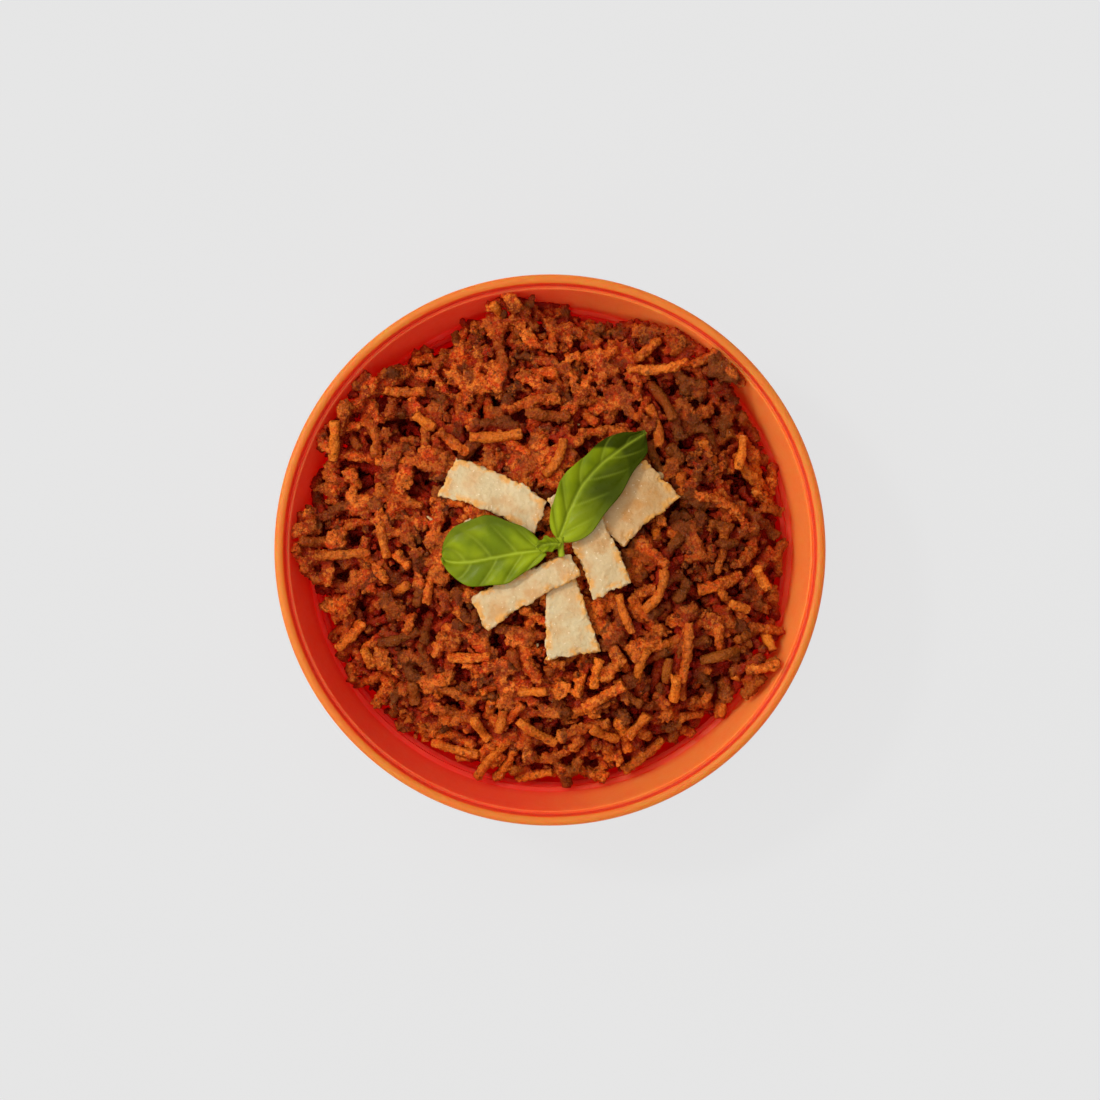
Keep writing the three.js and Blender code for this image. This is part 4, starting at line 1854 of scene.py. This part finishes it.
@dataclass(frozen=True)
class Shaving:
    """One slice shaved off a hard cheese, with crumbled edges, made from its CAD solid.

    Attributes:
        node: The CAD node that it takes the place of.
        voxel: The size of its mesh's cells.
        ragged: How far its edges are pushed about.
        edge_width: How far in from its edges the crumbling reaches.
    """

    node: str
    voxel: float = 0.34 * MM
    ragged: float = 0.95 * MM
    edge_width: float = 3.6 * MM

    def edge_tree(self, shape: bmesh.types.BMesh) -> KDTree:
        """Points along the slice's upright faces, for telling how near its edge a vertex is.

        Args:
            shape: The shaving as a bmesh.

        Returns:
            A tree of places along its edges.
        """
        spots = []
        for face in shape.faces:
            if abs(face.normal.z) < 0.5:
                corners = [vertex.co for vertex in face.verts]
                for first, second in zip(corners, corners[1:] + corners[:1]):
                    spots += [first.lerp(second, k / 5) for k in range(5)]
        tree = KDTree(len(spots))
        for i, spot in enumerate(spots):
            tree.insert((spot.x, spot.y, 0), i)
        tree.balance()
        return tree

    def build(self) -> bpy.types.Object:
        """Makes the slice.

        Returns:
            What it makes, finished.
        """
        shape = bmesh.new()
        shape.from_mesh(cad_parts[self.node].data)
        bmesh.ops.remove_doubles(shape, verts=shape.verts, dist=0.01 * MM)
        shape.normal_update()
        tree = self.edge_tree(shape)
        piece = piece_from_bmesh(f"{self.node}_slice", shape)
        remesh = piece.modifiers.new("fine", "REMESH")
        remesh.mode = "VOXEL"
        remesh.voxel_size = self.voxel
        apply_modifiers(piece)
        points = mesh_points(piece.data)
        gap = np.array([tree.find((x, y, 0))[2] for x, y, _ in points])
        edge = 1 - smooth_step(0.0, self.edge_width, gap)
        for i, (x, y, z) in enumerate(points):
            wide = noise.noise_vector(Vector((x, y, z * 0.5)) / (3.2 * MM))
            fine = noise.noise_vector(Vector((x, y, z)) / (1.1 * MM))
            push = (wide * 0.6 + fine * 0.6) * self.ragged * edge[i]
            lift = noise.noise(Vector((x, y, 0)) / (6 * MM)) * 0.45 * MM
            points[i] += (push.x, push.y, push.z * 0.4 + lift)
        move_points(piece.data, points)
        store(piece.data, "edge", edge)
        add_displacement(piece, 1.1 * MM, 0.32 * MM, 3)
        apply_modifiers(piece)
        piece.data.materials.clear()
        piece.data.materials.append(CheeseFinish(tan_and_shade=TAN_AND_SHADE_BY_SHAVING.get(self.node, 0.3)).material())
        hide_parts(self.node)
        return piece


@dataclass(frozen=True)
class Crumbs:
    """Loose crumbs and shreds of the cheese that lie on the heap.

    Attributes:
        places: For each, where it lies and its heading, length, width and height, in millimetres
            and degrees.
    """

    places: tuple[tuple[float, ...], ...] = (
        (31.3, 21.2, 20, 3.6, 2.8, 1.6), (-11.9, -35.8, 50, 5.6, 0.7, 0.6), (-34.1, 8.6, -38, 4, 0.8, 0.7),
        (-3.7, -27.6, 60, 1.2, 0.9, 0.8), (8.4, 36.5, 10, 1, 0.8, 0.7),
    )

    def build(self, pile: Pile) -> bpy.types.Object:
        """Lays the crumbs on the heap.

        Args:
            pile: The heap that they lie on.

        Returns:
            The finished piece.
        """
        shape = bmesh.new()
        for x, y, heading, *sizes in self.places:
            made = bmesh.ops.create_icosphere(shape, subdivisions=3, radius=0.5)["verts"]
            spot = np.array([[x, y]]) * MM
            rest = pile.look_up(pile.height, spot)[0] + sizes[2] * 0.3 * MM
            turn = Matrix.Rotation(math.radians(heading), 4, "Z")
            size = Matrix.Diagonal((*[value * MM for value in sizes], 1.0))
            place = Matrix.Translation((*spot[0], rest)) @ turn @ size
            bmesh.ops.transform(shape, matrix=place, verts=made)
        piece = piece_from_bmesh("cheese_crumbs", shape)
        add_displacement(piece, 1.0 * MM, 0.5 * MM, 2)
        apply_modifiers(piece)
        store(piece.data, "edge", np.full(len(piece.data.vertices), 0.2))
        piece.data.materials.append(CheeseFinish().material())
        return piece


# ---- Basil ----


@dataclass(frozen=True)
class Crown:
    """The smooth top of the heap that the leaves lie over.

    Attributes:
        top: Its height at the middle.
        rim: Its height at its edge.
        radius: Its radius.
        fullness: How flat its middle is.
        shoulder: How sharply it falls at its edge.
    """

    top: float = 54 * MM
    rim: float = 31.5 * MM
    radius: float = 70.2 * MM
    fullness: float = 2.6
    shoulder: float = 0.75

    def height(self, x: np.ndarray, y: np.ndarray) -> np.ndarray:
        """The crown's height over places in plan."""
        share = np.minimum(1.0, np.hypot(x, y) / self.radius)
        return self.rim + (self.top - self.rim) * (1 - share ** self.fullness) ** self.shoulder


@dataclass(frozen=True)
class Leaf:
    """One basil leaf: a quilted blade with a midrib, and veins that curve to its margin.

    Attributes:
        name: The piece's name.
        base: Where the blade starts, in plan.
        heading: The way it points, in degrees.
        length: The blade's length.
        width: Its greatest width.
        widest: How far along it is widest, from 0 to 1.
        sweep: How far its middle is swept to one side.
        trough: How far its margins stand over its midrib.
        lifts: How high it is over the crown at its base, middle and tip.
        veins: How many side veins it has on each side.
        base_power: How pointed the base is.
        tip_power: How pointed the tip is.
        quilt: How high it puffs up between its veins.
        thickness: The blade's thickness.
        shaded_from: How far along the painted shade on its tip starts, and over 1 for none.
        gloom: How dark its unlit side is, from 0 to 1.
        tip_slope: The most half width that it gains for each unit of length from its tip.
        rib_bow: How far the midrib bows off the middle, as a share of the half width.
        rib_lean: How far the midrib leans off the middle by the tip, as a share of the half width.
        youth: How pale the base is, from 0 to 1.
        lit_side: 1 or -1, for the side of the midrib that catches the light.
        along_steps: The number of vertices along it.
        across_steps: The number of vertices across it.
    """

    name: str
    base: tuple[float, float]
    heading: float
    length: float
    width: float
    widest: float
    sweep: float
    trough: float
    lifts: tuple[float, float, float]
    veins: float = 4.6
    base_power: float = 0.75
    tip_power: float = 0.5
    quilt: float = 0.75 * MM
    thickness: float = 0.45 * MM
    shaded_from: float = 2.0
    gloom: float = 0.0
    tip_slope: float = 9.0
    rib_bow: float = 0.0
    rib_lean: float = 0.0
    youth: float = 0.75
    lit_side: float = 1.0
    along_steps: int = 84
    across_steps: int = 44

    def half_width(self, share: np.ndarray) -> np.ndarray:
        """Half the blade's width, along its length.

        Args:
            share: How far along each point is, from 0 to 1.

        Returns:
            The half width at each.
        """
        power = math.log(0.5) / math.log(self.widest)
        bend = self.base_power + (self.tip_power - self.base_power) * smooth_step(0.3, 0.8, share)
        round_tip = self.width / 2 * np.maximum(0.015, np.sin(math.pi * share ** power)) ** bend
        return np.minimum(round_tip, (1.004 - share) * self.length * self.tip_slope)

    def rib_line(self, share: np.ndarray) -> np.ndarray:
        """How far the midrib lies from the blade's middle, from -1 to 1."""
        return self.rib_bow * np.sin(math.pi * share) + self.rib_lean * share

    def vein_relief(self, share: np.ndarray, across: np.ndarray) -> tuple[np.ndarray, np.ndarray]:
        """The blade's quilting.

        Args:
            share: How far along the blade each point is, from 0 to 1.
            across: How far it is from the midrib, from -1 to 1.

        Returns:
            How high each point stands, from 0 to 1, and how near a vein it is, from 0 to 1.
        """
        off_rib = across - self.rib_line(share)
        away = np.abs(off_rib)
        lag = 0.06 * np.sign(off_rib)
        phase = (share - 0.26 * away ** 1.25 + lag * 0.5) * self.veins
        off = np.abs(phase - np.round(phase))
        side = np.exp(-((off / 0.055) ** 2)) * smooth_step(-0.1, 0.15, away) * (1 - away ** 4)
        side *= smooth_step(0.02, 0.12, share) * (1 - smooth_step(0.8, 0.97, share))
        middle = np.exp(-((away * self.half_width(share) / (0.45 * MM)) ** 2))
        between = np.sin(math.pi * np.clip(off * 2, 0, 1) / 2) ** 0.8
        puff = between * np.sin(math.pi * np.clip(away, 0, 1)) ** 0.7
        return puff, np.clip(side * 0.42 + middle, 0, 1)

    def build(self, crown: Crown) -> bpy.types.Object:
        """Makes the leaf.

        Args:
            crown: What the leaf lies over.

        Returns:
            The finished piece.
        """
        shape = bmesh.new()
        bmesh.ops.create_grid(shape, x_segments=self.along_steps, y_segments=self.across_steps, size=0.5)
        grid = np.array([tuple(v.co) for v in shape.verts])
        share = np.clip(grid[:, 0] + 0.5, 0, 1)
        across = np.clip(grid[:, 1] * 2, -1, 1)
        half = self.half_width(share)
        puff, vein = self.vein_relief(share, across)
        wave = np.sin(share * 17 + np.sign(across) * 1.3) * 0.35 * MM * across ** 2
        local_x = self.length * share
        local_y = across * (half + wave) + self.sweep * np.sin(math.pi * share)
        turn = math.radians(self.heading)
        x = self.base[0] + local_x * math.cos(turn) - local_y * math.sin(turn)
        y = self.base[1] + local_x * math.sin(turn) + local_y * math.cos(turn)
        start, middle, end = self.lifts
        lift = start + (end - start) * share + 4 * share * (1 - share) * (middle - (start + end) / 2)
        lift += self.trough * (np.abs(across) - 0.5) * half / (self.width / 2)
        lift += self.quilt * (puff - 0.5) * smooth_step(0, 0.15, share)
        lift -= 0.5 * MM * np.exp(-(((across - self.rib_line(share)) * half / (0.5 * MM)) ** 2))
        z = crown.height(x, y) + lift + 0.45 * MM
        for vertex, place in zip(shape.verts, np.column_stack([x, y, z])):
            vertex.co = place
        piece = piece_from_bmesh(self.name, shape)
        mesh = piece.data
        store(mesh, "vein", vein * 0.6)
        store(mesh, "young", np.clip(1 - share / 0.42, 0, 1) * self.youth)
        # Painted shade: the unlit side of the midrib, the tip and the creases between the puffs are darker.
        curve = share + 0.12 * across ** 2
        lit = smooth_step(-0.2, 0.5, across * self.lit_side)
        gloom = self.gloom * (1 - 0.8 * lit)
        dark = gloom + (0.95 - gloom) * smooth_step(self.shaded_from, self.shaded_from + 0.04, curve)
        dark = np.where(share < self.shaded_from - 0.3, dark * share / (self.shaded_from - 0.3), dark)
        store(mesh, "shade", np.maximum(dark, 0.5 * (1 - puff) * (1 - vein)))
        wall = piece.modifiers.new("thickness", "SOLIDIFY")
        wall.thickness = self.thickness
        wall.offset = -1
        apply_modifiers(piece)
        piece.data.materials.append(BasilFinish().material())
        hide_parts("basil_sprig")
        return piece


@dataclass(frozen=True)
class Stem:
    """A tapering stalk through a few points, with a slight relief.

    Attributes:
        name: The piece's name.
        route: Its start, middle and end, in plan.
        lift: How high it lies over the crown's top.
        radius: Its radius at its start.
        end_share: Its end's radius as a share of its start's.
    """

    name: str
    route: tuple[tuple[float, float], ...]
    lift: float = 6.7 * MM
    radius: float = 1.05 * MM
    end_share: float = 0.85

    def build(self, crown: Crown) -> bpy.types.Object:
        """Makes the stalk by extruding a ring along its route.

        Args:
            crown: What the stalk lies over.

        Returns:
            The finished piece.
        """
        shape = bmesh.new()
        points = [Vector((x, y, crown.top + self.lift)) for x, y in self.route]
        start, middle, end = points
        count = 14
        spots = [
            start * (1 - t) ** 2 + (middle * 2 - (start + end) / 2) * 2 * t * (1 - t) + end * t ** 2
            for t in (i / count for i in range(count + 1))
        ]
        way = (spots[1] - spots[0]).normalized()
        ring = bmesh.ops.create_circle(shape, cap_ends=True, segments=12, radius=self.radius)["verts"]
        turn = way.to_track_quat("Z", "Y").to_matrix().to_4x4()
        bmesh.ops.transform(shape, matrix=Matrix.Translation(spots[0]) @ turn, verts=ring)
        shape.faces.ensure_lookup_table()
        face = shape.faces[0]
        shrink = Matrix.Scale(self.end_share ** (1 / count), 4)
        for i in range(1, len(spots)):
            made = bmesh.ops.extrude_face_region(shape, geom=[face])["geom"]
            face = next(item for item in made if isinstance(item, bmesh.types.BMFace))
            ahead = (spots[min(i + 1, len(spots) - 1)] - spots[i - 1]).normalized()
            bend = way.rotation_difference(ahead).to_matrix().to_4x4()
            place = Matrix.Translation(spots[i]) @ bend @ shrink @ Matrix.Translation(-spots[i - 1])
            bmesh.ops.transform(shape, matrix=place, verts=face.verts[:])
            way = ahead
        bmesh.ops.recalc_face_normals(shape, faces=shape.faces)
        piece = piece_from_bmesh(self.name, shape)
        add_displacement(piece, 1.5 * MM, 0.25 * MM, 1)
        apply_modifiers(piece)
        count_all = len(piece.data.vertices)
        for name, value in (("vein", 0.35), ("young", 0.7), ("shade", 0.0)):
            store(piece.data, name, np.full(count_all, value))
        piece.data.materials.append(BasilFinish("basil_stalk").material())
        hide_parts("basil_sprig")
        return piece


def sprig_parts() -> list[Leaf | Stem]:
    """The sprig's leaves and stalks.

    Returns:
        The leaves and stalks, ready to build.
    """
    tall = Leaf(
        "basil_leaf_tall", (2.3 * MM, 3.0 * MM), 51, 40.1 * MM, 16 * MM, 0.38, 2.1 * MM,
        1.5 * MM, (6.4 * MM, 6.8 * MM, 4.6 * MM), base_power=0.66, tip_power=0.4,
        shaded_from=0.76, gloom=0.85, tip_slope=1.05, rib_bow=0.3, youth=0.95,
    )
    left = Leaf(
        "basil_leaf_left", (-1.1 * MM, -0.2 * MM), 182.6, 30 * MM, 20.2 * MM, 0.58, -0.6 * MM,
        1.0 * MM, (6.7 * MM, 5.7 * MM, 4.2 * MM), veins=4, base_power=0.5, tip_power=0.42,
        rib_lean=0.38, youth=0.4, gloom=0.3, lit_side=-1.0,
    )
    bud = Leaf(
        "basil_leaf_bud", (3.0 * MM, 1.7 * MM), 188, 7 * MM, 4.4 * MM, 0.5, -0.5 * MM,
        1.6 * MM, (7.9 * MM, 8.4 * MM, 7.6 * MM), veins=3, quilt=0.5 * MM, along_steps=36, across_steps=20,
    )
    stub = Stem("basil_stem", ((2.8 * MM, 3.6 * MM), (3.0 * MM, 1.0 * MM), (3.4 * MM, -1.9 * MM)))
    stalk = Stem("basil_stalk", ((3.4 * MM, 1.4 * MM), (0.6 * MM, 1.0 * MM), (-2.6 * MM, -0.3 * MM)))
    return [tall, left, bud, stub, stalk]


def report(piece: bpy.types.Object) -> None:
    """Lets a finished piece ride with the dish and logs its size."""
    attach(piece, BODY)
    LOG.info("%s: %d triangles", piece.name, triangle_count(piece))


def main() -> None:
    """Builds the dish and its studio."""
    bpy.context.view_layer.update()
    low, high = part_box("bowl")
    bowl = Bowl(radius=high.x, height=high.z)
    studio = Studio()
    studio.build_camera(2 * bowl.radius, bowl.height)
    studio.build_floor()
    studio.build_lights()
    report(bowl.build())
    pile = Pile(bowl)
    for piece in Heap(pile, bowl).build():
        report(piece)
    report(Crumbs().build(pile))
    for node in sorted(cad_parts):
        if node.startswith("cheese_shaving"):
            report(Shaving(node).build())
    crown = Crown()
    for part in sprig_parts():
        report(part.build(crown))


if __name__ == "__main__":
    logging.basicConfig(level=logging.INFO, format="%(message)s")
    main()
